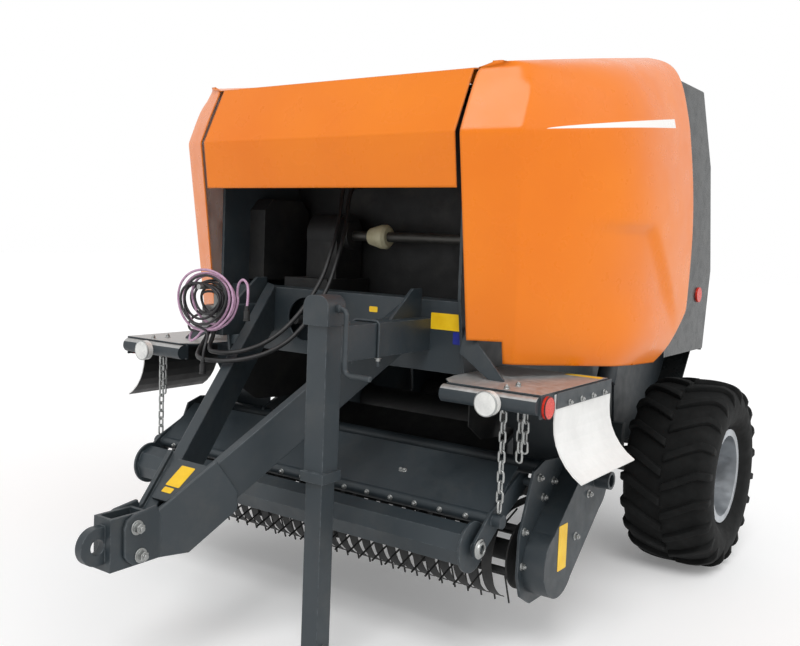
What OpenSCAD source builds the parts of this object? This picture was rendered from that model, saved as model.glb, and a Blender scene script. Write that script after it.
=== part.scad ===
// Round pickup baler with a fixed roller chamber, standing on its wheels and its parking jack.
// Millimetres, +Z up, the drawbar points to -Y, +X is the machine's left side.

/* [Wheels] */
// Outer diameter of the tyres over the lugs
tyre_d = 880; // [820:1:900]
// Width of the tyres
tyre_w = 400; // [360:1:420]
// Height of the tread lugs
lug_h = 22; // [14:1:26]
// Number of lugs in each row of the tread
lug_count = 20; // [16:1:24]
// Diameter of the rim's bead seat
rim_d = 394; // [380:1:410]
// Distance from the centre plane to the middle of each tyre
wheel_x = 1000; // [990:1:1030]
// Side of the square axle beam
axle_size = 100; // [80:1:110]

/* [Bale chamber] */
// Clear width between the chamber walls
chamber_w = 1200; // [1180:1:1210]
// Radius of the circle that the roller axes lie on
roller_circle = 830; // [815:1:835]
// Diameter of a chamber roller
roller_d = 150; // [120:1:156]
// Height of the middle of the chamber
chamber_z = 1385; // [1380:1:1395]
// How far the middle of the chamber lies in front of the axle
chamber_lead = 120; // [110:1:126]
// Thickness of the steel chamber walls
wall_t = 12; // [8:1:14]

/* [Body panels] */
// Half of the width of the front hood
hood_half_w = 624; // [614:1:628]
// Thickness of the moulded panels and sheets
panel_t = 5; // [4:0.5:6]
// Gap between the hood and each side panel
seam = 20; // [18:1:30]
// Overhang of each side panel beyond its inner edge at half height
panel_bulge = 445; // [400:1:460]
// Half of the width of the tailgate over its side plates
tailgate_half_w = 800; // [780:1:820]
// Half of the width of the tailgate's foot, between the wheels
tail_foot_half_w = 740; // [700:1:760]

/* [Front frame] */
// Height of the front cross beam
beam_h = 270; // [240:1:280]
// Depth of the front cross beam
beam_d = 120; // [100:1:125]
// Diameter of the hole for the drive shaft in the cross beam
beam_hole_d = 180; // [120:1:190]
// Wall of the welded tubes
tube_wall = 8; // [6:1:10]
// Width of a drawbar leg
leg_w = 80; // [70:1:84]
// Height of a drawbar leg
leg_h = 150; // [130:1:156]
// Bore of the tow eye
tow_bore_d = 50; // [40:1:52]
// Thickness of the tow eye
tow_eye_t = 30; // [24:1:36]
// Diameter of the drive shaft stub on the gearbox
input_d = 34.92; // [30:0.02:45]

/* [Parking jack] */
// Outer side of the jack's square tube
jack_size = 80; // [70:1:84]
// Height of the lower end of the jack's outer tube
jack_low = 683; // [640:1:700]
// Diameter of the jack's foot
foot_d = 220; // [180:1:240]

/* [Pickup] */
// Distance from the centre plane to the inner face of the pickup's side plates
pickup_half_w = 890; // [880:1:895]
// Radius of the reel at the tine tips
tine_reach = 250; // [235:1:255]
// Distance between neighbouring tines
tine_pitch = 60; // [54:1:66]
// Diameter of a tine
tine_d = 8; // [6:1:9]
// Radius of the stripper bands
stripper_r = 165; // [155:1:172]
// Width of a stripper band
stripper_w = 40; // [34:1:42]
// Diameter of the crop press roller across its corners
press_d = 150; // [120:1:160]
// Diameter of the end discs of the press roller
press_disc_d = 175; // [160:1:180]
// Diameter of the crop guard's pipe
guard_pipe_d = 48; // [42:1:54]
// Bore of the gauge wheel sockets
gauge_bore_d = 48; // [40:1:52]

/* [Hidden] */
$fn = 64;

orange = [0.93, 0.48, 0.12];
slate = [0.22, 0.25, 0.27];
dark_grey = [0.15, 0.16, 0.17];
rubber = [0.06, 0.06, 0.06];
silver = [0.75, 0.76, 0.77];
zinc = [0.62, 0.63, 0.62];
white = [0.92, 0.92, 0.9];
cream = [0.87, 0.84, 0.7];
red = [0.8, 0.12, 0.06];

// Running clearance of a pin in its bore, and the gap between pieces that only lie on each other
pin_fit = 0.05;
rest_gap = 0.3;

// Reach of the tow eye's tip and of the tailgate from the axle; the axle's place centres the box
front_reach = 2732;
tail_rear = 815;
axle_y = (front_reach - tail_rear - panel_t) / 2;
wheel_r = tyre_d / 2;

// Walls and chamber
wall_in = chamber_w / 2;
wall_out = wall_in + wall_t;
chamber_y = -chamber_lead;
roller_r = roller_d / 2;
// Angles of the roller axes round the chamber, from the rear over the top
front_angles = [108, 128, 148, 168, 188, 208, 246, 266];
tailgate_angles = [-72, -52, -32, -12, 8, 28, 48, 68, 88];

// Roof line: a straight slope from the hood's front edge up to the ridge, then nearly flat
roof_front = [-1557, 2109];
roof_ridge = [-420, 2305];
roof_rear = [-250, 2312];
roof_slope = atan2(roof_ridge[1] - roof_front[1], roof_ridge[0] - roof_front[0]);
function roof_z(y) = roof_front[1] + (y - roof_front[0]) * tan(roof_slope);
hood_crease = [-1670, 1874];
hood_foot = [-1642, 1682];

// Hinge of the hood, under the roof sheet
hood_hinge_y = -1040;
hood_hinge_drop = 18;
hood_hinge_z = roof_z(hood_hinge_y) - hood_hinge_drop;
hood_room = 20;
hinge_pin_r = 6;
hinge_sleeve_r = 10;

// Hinge line of the side panels, along the roof slope
panel_in = hood_half_w + seam;
panel_hinge_drop = 16;

// Tailgate: hinge, split line and outline, relative to the axle
gate_hinge = [-240, 2260];
gate_pin_r = 20;
gate_boss_r = 34;
split_top = [-225, 2220];
split_low = [-25, 490];
split_gap = 5;
gate_outline = [
    [-180, 2312], [500, 2310], [700, 1940], [tail_rear, 1380], [750, 950], [520, 640], [250, 505], [70, 505],
    [split_low[0] + 25, 520], [split_top[0] + 25, split_top[1]], [-194, 2240]
];

// Tailgate cylinders: barrel pin on the wall, rod eye beside the lug on the tailgate
barrel_pin = [-330, 830];
rod_pin = [130, 1900];
cylinder_x = wall_out + 68;
cylinder_pin_r = 20;
barrel_r = 45;
rod_r = 25;
barrel_len = 880;
rod_tail = 100;
eye_w = 30;
eye_r = 42;
lug_end = cylinder_x - rod_r - 3;
cylinder_angle = atan2(rod_pin[1] - barrel_pin[1], rod_pin[0] - barrel_pin[0]);
cylinder_len = norm(rod_pin - barrel_pin);

// Front frame
beam_front = -1500;
beam_low = 1000;
beam_top = beam_low + beam_h;
beam_back = beam_front + beam_d;
input_x = -175;
input_z = beam_low + beam_h / 2 + 10;
rail_in = 350;
rail_w = 100;
rail_low = 1080;
rail_h = 120;
rail_top = rail_low + rail_h;
jack_y = -2080;
jack_x = rail_in + 60;
rail_front = jack_y + jack_size / 2;
short_rail_front = -1800;
leg_start = [52, -2262, 707];
leg_yaw = atan(0.368);
leg_pitch = atan(0.75 * cos(leg_yaw));
nose_half_w = 41;
nose_low = 445;
nose_top = 597;
nose_front = -2500;
hitch_front = -2644;
hitch_low = 428;
hitch_wall = 12;
nose_plate_t = 14;
hitch_z = (hitch_low + nose_top) / 2;
tow_eye_r = 60;
tow_eye_y = tow_eye_r - front_reach;
jack_top = 1250;
jack_wall = 6;
jack_slip = 0.3;
jack_travel = 440;
jack_leg_top = jack_top - jack_travel - 10;
front_wall_y = chamber_y - roller_circle - roller_r - 35;
cross_shaft_y = front_wall_y - 120;
cross_shaft_z = 1500;
cross_shaft_r = 22;
gearbox_x = [-400, -160];

// Platforms
platform_out = 1030;
platform_front = -1730;
platform_rear = -1180;
platform_top = 1010;
sheet_t = 6;
band_low = 930;
bumper_r = 30;
bumper_z = 972;
lamp_r = 42;
lamp_x = 860;
lamp_t = 32;
flap_arc_r = 220;
flap_front = -1630;
flap_rear = -1160;

// Pickup: hinge on the chamber walls, reel, crop guard and press roller
pickup_hinge = [-920, 755];
pickup_pin_r = 25;
arm_in = wall_out + 10;
arm_t = 16;
plate_t = 10;
reel_axis = [-1420, 360];
reel_shaft_r = 20;
reel_tube_r = 38;
tine_bar_r = 12;
tine_bar_circle = 110;
tine_bars = 4;
tine_half_n = 13;
deck_rear = -1000;
rear_tube_size = 50;
rear_tube = [-1050, reel_axis[1] + stripper_r - 3 - rear_tube_size / 2];
upper_tube = [-1230, 640];
upper_tube_r = 30;
guard_hinge = [-1450, 640];
guard_pin_r = 15;
guard_arm_in = 838;
guard_pipe_end = pickup_half_w - 8;
guard_pipe = [-1668, 545];
press_axis = [-1765, 470];
press_half_w = 815;
case_t = 85;
case_r = 125;
case_top = [-1130, 600];
gauge_z = 612;
gauge_y = -1118;
gauge_r = 34;
gauge_len = 60;
gauge_sink = 3;
chain_x = 865;
chain_links = 12;

// Hoses and cable: points chosen by hand, relative to the axle
hose_r = 9;
hose_upper_points = [
    [-262, -1066, 1760], [-262, -1110, 1760], [-240, -1170, 1740], [-200, -1240, 1690], [-145, -1320, 1615],
    [-95, -1400, 1530], [-62, -1480, 1430], [-48, -1550, 1325], [-58, -1630, 1222], [-88, -1705, 1135],
    [-130, -1775, 1075], [-180, -1835, 1042], [-235, -1878, 1028], [-290, -1890, 1026], [-338, -1878, 1028],
    [-370, -1850, 1044], [-384, -1822, 1074], [-385, -1815, 1096], [-385, -1815, 1110]
];
hose_lower_points = [
    [-228, -1066, 1720], [-228, -1110, 1720], [-205, -1170, 1700], [-165, -1240, 1650], [-110, -1320, 1578],
    [-62, -1400, 1495], [-30, -1480, 1395], [-16, -1550, 1290], [-26, -1630, 1184], [-56, -1715, 1092],
    [-100, -1790, 1040], [-150, -1855, 1014], [-205, -1905, 1002], [-262, -1930, 999], [-325, -1932, 998],
    [-376, -1910, 1006], [-405, -1870, 1030], [-415, -1832, 1064], [-416, -1815, 1094], [-416, -1815, 1110]
];
hose_end_z = 1110;
coil = [-363, -1873, 1212];
coil_r = 115;
coil_tube_r = 38;

// Placing helpers
module from_axle() translate([0, axle_y, 0]) children();
module mirrored() mirror([1, 0, 0]) children();
module both_sides() {
    children();
    mirrored() children();
}
// Plate in the side view: points are [y, z], x0 its inner face
module side_plate(points, x0, t) translate([x0, 0, 0]) rotate([90, 0, 90]) linear_extrude(t) polygon(points);
// Round bar along X at [y, z]
module bar_x(at, x0, x1, r, sides = 64)
    translate([x0, at[0], at[1]]) rotate([0, 90, 0]) cylinder(r = r, h = x1 - x0, $fn = sides);
// Round bar along Y at [x, z]
module bar_y(x, z, y0, y1, r) translate([x, y1, z]) rotate([90, 0, 0]) cylinder(r = r, h = y1 - y0);
module block(x, y, z) translate([x[0], y[0], z[0]]) cube([x[1] - x[0], y[1] - y[0], z[1] - z[0]]);
// Frame along the roof slope, at the hinge line of the left side panel
module panel_hinge_frame(y)
    translate([panel_in, y, roof_z(y) - panel_hinge_drop]) rotate([roof_slope, 0, 0]) children();

// Closed solid through rings of equally many points
module loft(rings) {
    n = len(rings[0]);
    m = len(rings);
    points = [for (ring = rings) each ring];
    sides = [for (i = [0 : m - 2]) for (k = [0 : n - 1]) each [
        [i * n + k, (i + 1) * n + k, i * n + (k + 1) % n],
        [i * n + (k + 1) % n, (i + 1) * n + k, (i + 1) * n + (k + 1) % n]
    ]];
    first = [[for (k = [0 : n - 1]) k]];
    last = [[for (k = [n - 1 : -1 : 0]) (m - 1) * n + k]];
    polyhedron(points, concat(first, sides, last), convexity = 6);
}
// Ring of points round a path point, square to the path there
function path_ring(p, dir, r, sides) =
    let(d = dir / norm(dir), u0 = cross(d, [0.31, 0.17, 1]), u = u0 / norm(u0), v = cross(d, u))
    [for (k = [0 : sides - 1]) p + r * (cos(360 * k / sides) * u + sin(360 * k / sides) * v)];
module swept_tube(points, r, sides) {
    last = len(points) - 1;
    loft([for (i = [0 : last])
        path_ring(points[i], points[min(i + 1, last)] - points[max(i - 1, 0)], r, sides)]);
}

// Chamber walls, beam and rails
wall_outline = [
    [split_top[0] - 18, split_top[1]], [split_low[0], split_low[1]], [-330, split_low[1]], [-560, 560],
    [-760, 640], [pickup_hinge[0] - 70, 690], [pickup_hinge[0] - 70, 850], [front_wall_y, band_low],
    [beam_front, band_low], [-1560, 1290], [-1560, 1690], [-1500, roof_z(-1500) - hood_room],
    [hood_hinge_y - 40, roof_z(hood_hinge_y - 40) - hood_room], [hood_hinge_y - 22, hood_hinge_z - 30],
    [hood_hinge_y + 24, hood_hinge_z - 30], [hood_hinge_y + 36, roof_z(hood_hinge_y + 36) - panel_t],
    [roof_ridge[0], roof_ridge[1] - panel_t], [roof_rear[0], roof_rear[1] - panel_t], [-262, 2240]
];
module side_wall() difference() {
    union() {
        side_plate(wall_outline, wall_in, wall_t);
        bar_x(gate_hinge, wall_in, wall_out, gate_boss_r);
        bar_x(pickup_hinge, wall_out, arm_in + arm_t + 6, pickup_pin_r);
        bar_x(barrel_pin, wall_out, cylinder_x + eye_w / 2 + 6, cylinder_pin_r);
        for (y = [-1350, -560]) panel_hinge_lug(y);
    }
    bar_x(gate_hinge, wall_in - 1, wall_out + 1, gate_pin_r + pin_fit);
}
// Lug and pin that carry one sleeve of a side panel
module panel_hinge_lug(y) {
    panel_hinge_frame(y) rotate([-90, 0, 0]) cylinder(r = hinge_pin_r, h = 80);
    panel_hinge_frame(y) rotate([90, 0, 0]) linear_extrude(12) union() {
        circle(r = hinge_sleeve_r - 1);
        polygon([[wall_out - panel_in - 4, -70], [wall_out - panel_in - 4, -40], [-8, 2], [8, -3], [8, -20]]);
    }
}
module side_wall_left() color(slate) from_axle() side_wall();
module side_wall_right() color(slate) from_axle() mirrored() side_wall();
module front_wall() color(dark_grey) from_axle()
    block([-wall_in, wall_in], [front_wall_y - sheet_t, front_wall_y], [beam_low, 2050]);
module front_beam() color(slate) from_axle() difference() {
    block([-wall_in, wall_in], [beam_front, beam_back], [beam_low, beam_top]);
    block([-wall_in - 1, wall_in + 1], [beam_front + tube_wall, beam_back - tube_wall],
        [beam_low + tube_wall, beam_top - tube_wall]);
    bar_y(input_x, input_z, beam_front - 1, beam_back + 1, beam_hole_d / 2);
}
module rail_outer(front) block([rail_in, rail_in + rail_w], [front, beam_front], [rail_low, rail_top]);
module rail(front) {
    difference() {
        rail_outer(front);
        block([rail_in + tube_wall, rail_in + rail_w - tube_wall], [front + tube_wall, beam_front + 1],
            [rail_low + tube_wall, rail_top - tube_wall]);
    }
    rail_bracket();
}
module side_rails() color(slate) from_axle() {
    rail(rail_front);
    mirrored() rail(short_rail_front);
}
bracket_outline = [
    [-1700, rail_top], [beam_front, rail_top], [beam_front, beam_top + 40], [-1560, beam_top + 40]
];
module rail_bracket() side_plate(bracket_outline, rail_in + rail_w / 2 - 6, 12);

// Axle beam with hub spindles
module axle() color(slate) from_axle() {
    half = axle_size / 2;
    difference() {
        block([-740, 740], [-half, half], [wheel_r - half, wheel_r + half]);
        inside = half - tube_wall;
        block([-700, 700], [-inside, inside], [wheel_r - inside, wheel_r + inside]);
    }
    both_sides() {
        bar_x([0, wheel_r], 739, wheel_x + 75, hub_r);
        block([wall_out, wall_out + 60], [-half, -half + 40], [wheel_r + half, wheel_r + half + 130]);
    }
}
hub_r = 60;

// Drawbar, hitch and jack
nose_plate = [
    [-2588, 455], [-2598, 470], [-2600, 560], [-2590, 585], [-2560, 598], [-2470, 610], [-2450, 560],
    [-2450, nose_low - 12], [-2560, nose_low - 12]
];
module leg_frame() translate(leg_start) rotate([leg_pitch, 0, -leg_yaw]) children();
module leg() leg_frame() difference() {
    translate([0, -400, -leg_h]) cube([leg_w, 1700, leg_h]);
    translate([tube_wall, 60, tube_wall - leg_h]) cube([leg_w - 2 * tube_wall, 1300, leg_h - 2 * tube_wall]);
}
module drawbar() color(slate) from_axle() {
    both_sides() difference() {
        intersection() {
            leg();
            block([0, 900], [nose_front, beam_front], [nose_low, 1600]);
        }
        rail_outer(rail_front);
        rail_bracket();
    }
    block([-nose_half_w, nose_half_w], [nose_front, -2330], [nose_low, nose_top - 20]);
    both_sides() {
        side_plate(nose_plate, nose_half_w, nose_plate_t);
        intersection() {
            leg_frame() translate([leg_w - 1, -330, -leg_h - 25])
                cube([nose_plate_t + 1, 350, leg_h + 40]);
            block([nose_half_w, 400], [nose_front - 20, -2200], [nose_low - 12, 760]);
        }
    }
    translate([0, leg_start[1], leg_start[2]]) rotate([leg_pitch, 0, 0])
        translate([0, 0, 1]) linear_extrude(8) polygon([[-110, -90], [110, -90], [190, 130], [-190, 130]]);
}
module hitch_block() color(slate) from_axle() {
    difference() {
        block([-nose_half_w, nose_half_w], [hitch_front, nose_front], [hitch_low, nose_top]);
        well = nose_half_w - hitch_wall;
        block([-well, well], [hitch_front + hitch_wall, nose_front - hitch_wall], [hitch_low - 1, nose_top + 1]);
    }
    difference() {
        union() {
            bar_x([tow_eye_y, hitch_z], -tow_eye_t / 2, tow_eye_t / 2, tow_eye_r);
            block([-tow_eye_t / 2, tow_eye_t / 2], [tow_eye_y, hitch_front + 10],
                [hitch_z - tow_eye_r, hitch_z + tow_eye_r]);
        }
        bar_x([tow_eye_y, hitch_z], -tow_eye_t, tow_eye_t, tow_bore_d / 2);
        block([-tow_eye_t, tow_eye_t], [hitch_front + 10, nose_front], [hitch_low, nose_top]);
    }
}
module square_tube(size, z0, z1) translate([jack_x, jack_y, z0]) translate([-size / 2, -size / 2, 0])
    cube([size, size, z1 - z0]);
jack_bore = jack_size - 2 * jack_wall;
module jack_tube() color(slate) from_axle() {
    difference() {
        union() {
            square_tube(jack_size, jack_low, jack_top);
            square_tube(jack_size + 16, jack_low, jack_low + 35);
        }
        square_tube(jack_bore, jack_low - 1, jack_top - 8);
        block([jack_x - 60, jack_x + 60], [rail_front, rail_front + 40], [rail_low, rail_top]);
    }
    jack_cap();
}
// Arched cover of the jack's gear, a little wider than the tube
module jack_cap() {
    half = jack_size / 2 + cap_lip;
    y = [jack_y - half, jack_y + half - cap_lip];
    difference() {
        union() {
            block([jack_x - half, jack_x + half], y, [cap_low, cap_arch_z]);
            block([jack_x - half + cap_arch_r, jack_x + half - cap_arch_r], y,
                [cap_arch_z - 1, cap_arch_z + cap_arch_r]);
            for (x = [-1, 1]) bar_y(jack_x + x * (half - cap_arch_r), cap_arch_z, y[0], y[1], cap_arch_r);
        }
        square_tube(jack_size - 1, cap_low - 1, jack_top - 8);
        block([jack_x - 80, jack_x + 80], [rail_front, rail_front + 60], [rail_low, rail_top]);
    }
}
cap_lip = 12;
cap_low = rail_top + 5;
cap_arch_r = 36;
cap_arch_z = 1268;
crank_r = 9;
module jack_crank() color(zinc) from_axle() {
    side = jack_x + jack_size / 2 + cap_lip;
    translate([0, jack_y, 0]) swept_tube([
        [side, 0, 1262], [side + 18, 0, 1262], [side + 30, 0, 1256], [side + 36, 0, 1244], [side + 36, 0, 1226],
        [side + 36, 0, 1080], [side + 37, 0, 1064], [side + 44, 0, 1053], [side + 58, 0, 1048],
        [side + 140, 0, 1046]
    ], crank_r, 12);
    bar_x([jack_y, 1262], side, side + 14, 14);
}
module jack_leg() color(slate) from_axle() {
    size = jack_bore - 2 * jack_slip;
    difference() {
        square_tube(size, 20, jack_leg_top);
        square_tube(size - 2 * jack_wall, 30, jack_leg_top + 1);
    }
    edge = foot_d / 2;
    translate([jack_x, jack_y, 0]) rotate_extrude()
        polygon([[0, 0], [edge - 12, 0], [edge, 16], [edge - 8, 16], [edge - 45, 12], [52, 40], [0, 40]]);
}

// Gearbox and cross drive
module gearbox() color(dark_grey) from_axle() {
    block(gearbox_x, [beam_back, front_wall_y - 20], [beam_low + 10, beam_top + 40]);
    block([gearbox_x[0] + 30, gearbox_x[1] - 40], [cross_shaft_y - 90, cross_shaft_y + 90],
        [beam_top + 40, cross_shaft_z]);
    bar_x([cross_shaft_y, cross_shaft_z], gearbox_x[0] + 30, gearbox_x[1] - 40, 95);
    bar_x([cross_shaft_y, cross_shaft_z], gearbox_x[1] - 41, gearbox_x[1] - 10, 60);
    bar_y(input_x, input_z, beam_back - 60, beam_back + 1, 48);
    bar_y(input_x, input_z, beam_front - 60, beam_back - 59, input_d / 2);
}
module cross_shaft() color(zinc) from_axle()
    bar_x([cross_shaft_y, cross_shaft_z], gearbox_x[1] - 10, wall_in, cross_shaft_r);
module shaft_guard() color(cream) from_axle() translate([-80, cross_shaft_y, cross_shaft_z]) rotate([0, 90, 0])
    rotate_extrude() polygon([
        [cross_shaft_r + rest_gap, 0], [36, 0], [52, 60], [52, 84], [40, 96], [cross_shaft_r + rest_gap, 96]
    ]);
module drive_case() color(dark_grey) from_axle()
    side_plate([
        [-1400, 1290], [-1100, 1290], [-1100, 1600], [-1150, 1650], [-1350, 1650], [-1400, 1600]
    ], -wall_in, 90);

// Chamber rollers: a thin tube on a through shaft, joined by a web in the middle
module roller(angle) {
    at = [chamber_y + roller_circle * cos(angle), chamber_z + roller_circle * sin(angle)];
    half = wall_in - 6;
    difference() {
        bar_x(at, -half, half, roller_r);
        bar_x(at, -half - 1, -8, roller_r - 6);
        bar_x(at, 8, half + 1, roller_r - 6);
    }
    both_sides() bar_x(at, 7, wall_in, 20);
}
module front_rollers() color(zinc) from_axle() for (angle = front_angles) roller(angle);
module tailgate_rollers() color(zinc) from_axle() for (angle = tailgate_angles) roller(angle);

// Roof sheet between the hood and the tailgate, with the hood's hinge pins
roof_start = hood_hinge_y + 16;
module roof_cover() color(orange) from_axle() {
    top = [[roof_start, roof_z(roof_start)], roof_ridge, roof_rear];
    under = [for (i = [2 : -1 : 0]) top[i] - [0, panel_t]];
    side_plate(concat(top, under), -hood_half_w, 2 * hood_half_w);
    both_sides() {
        for (x = [280, 372]) side_plate([
            [hood_hinge_y - 8, hood_hinge_z - 8], [hood_hinge_y + 60, hood_hinge_z - 22],
            [hood_hinge_y + 90, roof_z(hood_hinge_y + 90) - panel_t], [roof_start, roof_z(roof_start) - panel_t],
            [hood_hinge_y + 6, hood_hinge_z + 6], [hood_hinge_y - 8, hood_hinge_z + 6]
        ], x, 12);
        bar_x([hood_hinge_y, hood_hinge_z], 291, 373, hinge_pin_r);
    }
}

// Platforms, lamps and flaps
module platform() {
    translate([0, 0, platform_top - sheet_t]) linear_extrude(sheet_t) polygon([
        [wall_out, platform_rear], [platform_out, platform_rear], [platform_out, platform_front],
        [wall_out + 70, platform_front], [wall_out + 20, platform_front + 60], [wall_out, platform_front + 150]
    ]);
    block([platform_out - sheet_t, platform_out], [platform_front, platform_rear], [band_low, platform_top]);
    bar_x([platform_front, bumper_z], 660, platform_out - sheet_t, bumper_r);
    for (y = [-1700, -1300]) {
        x0 = wall_out + (y < beam_front ? 48 : 0);
        x1 = platform_out - sheet_t;
        translate([0, y, 0]) rotate([90, 0, 0]) linear_extrude(10) polygon([
            [x0, platform_top - sheet_t], [x0, band_low + 10],
            [x1, platform_top - 40], [x1, platform_top - sheet_t]
        ]);
    }
}
module platform_left() color(silver) from_axle() platform();
module platform_right() color(silver) from_axle() mirrored() platform();
module front_lamps() color(white) from_axle() both_sides() {
    back = platform_front - bumper_r - rest_gap;
    bar_y(lamp_x, bumper_z - 6, back - lamp_t, back, lamp_r);
}
module side_reflectors() color(red) from_axle() both_sides()
    bar_x([-1686, bumper_z - 8], platform_out, platform_out + 12, lamp_r - 4);
flap_bend_z = 905;
function flap_arc(r) = [
    for (a = [0 : 10 : 60]) [platform_out + flap_arc_r - r * cos(a), flap_bend_z - r * sin(a)]
];
function backwards(list) = [for (i = [len(list) - 1 : -1 : 0]) list[i]];
module flaps() color(white) from_axle() both_sides() translate([0, flap_rear, 0]) rotate([90, 0, 0])
    linear_extrude(flap_rear - flap_front) polygon(concat(
        [[platform_out, platform_top - 10]],
        flap_arc(flap_arc_r),
        backwards(flap_arc(flap_arc_r - sheet_t)),
        [[platform_out + sheet_t, platform_top - 10]]));

// Hose rest, hoses and coiled cable
peg_r = 10;
peg_z = coil[2] + coil_r - coil_tube_r - peg_r - rest_gap;
module hose_holder() color(zinc) from_axle() {
    back = [short_rail_front - 30, short_rail_front];
    block([-rail_in - 90, -rail_in - 10], back, [hose_end_z, rail_top]);
    block([coil[0] - 12, coil[0] + 12], back, [rail_top - 1, peg_z + peg_r + 4]);
    bar_y(coil[0], peg_z, coil[1] - coil_tube_r - 14, short_rail_front - 15, peg_r);
}
module hose_upper() color(rubber) from_axle() swept_tube(hose_upper_points, hose_r, 8);
module hose_lower() color(rubber) from_axle() swept_tube(hose_lower_points, hose_r, 8);
module cable_coil() color([0.8, 0.66, 0.72]) from_axle() translate(coil) rotate([90, 0, 0])
    rotate_extrude() translate([coil_r, 0]) circle(r = coil_tube_r, $fn = 32);

// Chains of the crop guard: stadium links, each turned square to its neighbour
link_wire_r = 4;
link_bend_r = 11;
link_play = 0.5;
chain_top = platform_top - sheet_t - rest_gap;
chain_low = guard_pipe[1] + guard_pipe_d / 2 + rest_gap;
link_pitch = (chain_top - chain_low - 4 * link_wire_r - link_play) / chain_links;
link_h = link_pitch + 2 * link_wire_r + link_play;
function link_point(a, k) = let(r = link_bend_r + link_wire_r * cos(90 * k))
    [r * cos(a), link_wire_r * sin(90 * k), (link_h / 2 - link_bend_r) * sign(sin(a)) + r * sin(a)];
module chain_link() loft_ring([for (a = [0 : 45 : 315]) [for (k = [0 : 3]) link_point(a, k)]]);
// Closed ring of sections
module loft_ring(rings) {
    n = len(rings[0]);
    m = len(rings);
    polyhedron([for (ring = rings) each ring], [for (i = [0 : m - 1]) for (k = [0 : n - 1]) each [
        [i * n + k, ((i + 1) % m) * n + k, i * n + (k + 1) % n],
        [i * n + (k + 1) % n, ((i + 1) % m) * n + k, ((i + 1) % m) * n + (k + 1) % n]
    ]], convexity = 4);
}
module guard_chain() for (i = [0 : chain_links - 1])
    translate([chain_x, guard_pipe[0], chain_top - link_wire_r - link_h / 2 - i * link_pitch])
        rotate([0, 0, i % 2 * 90]) chain_link();
module guard_chain_left() color(zinc) from_axle() guard_chain();
module guard_chain_right() color(zinc) from_axle() mirrored() guard_chain();

// Wheels
bead_half_w = tyre_w / 2 - 45;
carcass_r = wheel_r - lug_h;
// Tyre section: radius from the axle, distance from the tyre's middle
tyre_outside = [
    [rim_d / 2 + 0.3, bead_half_w - 0.3], [rim_d / 2 + 24, bead_half_w - 0.3],
    [carcass_r - 150, tyre_w / 2 - 10], [carcass_r - 100, tyre_w / 2],
    [carcass_r - 55, tyre_w / 2 - 8], [carcass_r - 22, tyre_w / 2 - 32],
    [carcass_r - 6, tyre_w / 2 - 80], [carcass_r, tyre_w / 2 - 140]
];
tyre_inside = [
    [carcass_r - 26, tyre_w / 2 - 130], [carcass_r - 50, tyre_w / 2 - 50], [carcass_r - 100, tyre_w / 2 - 20],
    [carcass_r - 150, tyre_w / 2 - 28], [rim_d / 2 + 0.3, bead_half_w - 26]
];
function across(points) = [for (i = [len(points) - 1 : -1 : 0]) [points[i][0], -points[i][1]]];
module tyre() translate([wheel_x, 0, wheel_r]) rotate([0, 90, 0]) {
    rotate_extrude() polygon(concat(tyre_outside, across(tyre_outside), across(tyre_inside), tyre_inside));
    intersection() {
        cylinder(r = wheel_r, h = tyre_w, center = true);
        for (i = [0 : lug_count - 1]) for (side = [-1, 1])
            rotate([0, 0, 360 * (i + side / 4) / lug_count]) translate([carcass_r - 14, 0, side * 70])
                rotate([side * 28, 0, 0]) translate([0, -20, -85]) cube([lug_h + 20, 40, 170]);
    }
}
module rim() translate([wheel_x, 0, wheel_r]) rotate([0, 90, 0]) rotate_extrude() {
    seat = rim_d / 2;
    edge = bead_half_w + 10;
    polygon([[hub_r + pin_fit, -45], [hub_r + 24, -45], [hub_r + 24, 8], [seat - 40, 22], [seat - 7, 12],
        [seat - 7, 22], [seat - 40, 32], [hub_r + 24, 18], [hub_r + 24, 30], [hub_r + pin_fit, 30]]);
    polygon([[seat - 8, -edge], [seat + 22, -edge], [seat + 22, -bead_half_w], [seat, -bead_half_w],
        [seat, bead_half_w], [seat + 22, bead_half_w], [seat + 22, edge], [seat - 8, edge]]);
}
module tyre_left() color(rubber) from_axle() tyre();
module tyre_right() color(rubber) from_axle() mirrored() tyre();
module rim_left() color(silver) from_axle() rim();
module rim_right() color(silver) from_axle() mirrored() rim();

// Tailgate
module tailgate_wall() {
    side_plate(gate_outline, wall_in, wall_t);
    bar_x(gate_hinge, wall_in, wall_out + 16, gate_pin_r);
    side_plate([
        [-270, 2250], [-255, 2290], [-225, 2294], [-100, 2240], [-100, 2150], [-190, 2180]
    ], wall_out + 1, 15);
    side_plate([[-180, 2230], [-100, 2230], [-100, 2160], [-180, 2180]], wall_out - 1, 3);
    bar_x(rod_pin, wall_out - 1, lug_end, 36);
}
module tailgate_walls() color(slate) from_axle() both_sides() tailgate_wall();
module tailgate_cover() color(dark_grey) from_axle() difference() {
    translate([sheet_t - tailgate_half_w, 0, 0]) rotate([90, 0, 90])
        linear_extrude(2 * (tailgate_half_w - sheet_t)) difference() {
            offset(delta = panel_t) polygon(gate_outline);
            polygon(gate_outline);
            polygon([[-400, 2500], [-180, 2500], [-180, 2300], [-100, 1400], [70, 600], [70, 400], [-400, 400]]);
        }
    both_sides() block([tail_foot_half_w, 900], [-400, 1000], [400, tail_foot_z]);
}
tail_foot_z = tyre_d + 60;
gate_side = [
    gate_outline[0], gate_outline[1], gate_outline[2], gate_outline[3], gate_outline[4],
    [700, tail_foot_z + 10], [120, tail_foot_z + 10]
];
module tailgate_sides() color(dark_grey) from_axle() both_sides()
    side_plate(gate_side, tailgate_half_w - sheet_t, sheet_t);
rear_lean = atan2(tail_rear - gate_outline[4][0], gate_outline[3][1] - gate_outline[4][1]);
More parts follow.
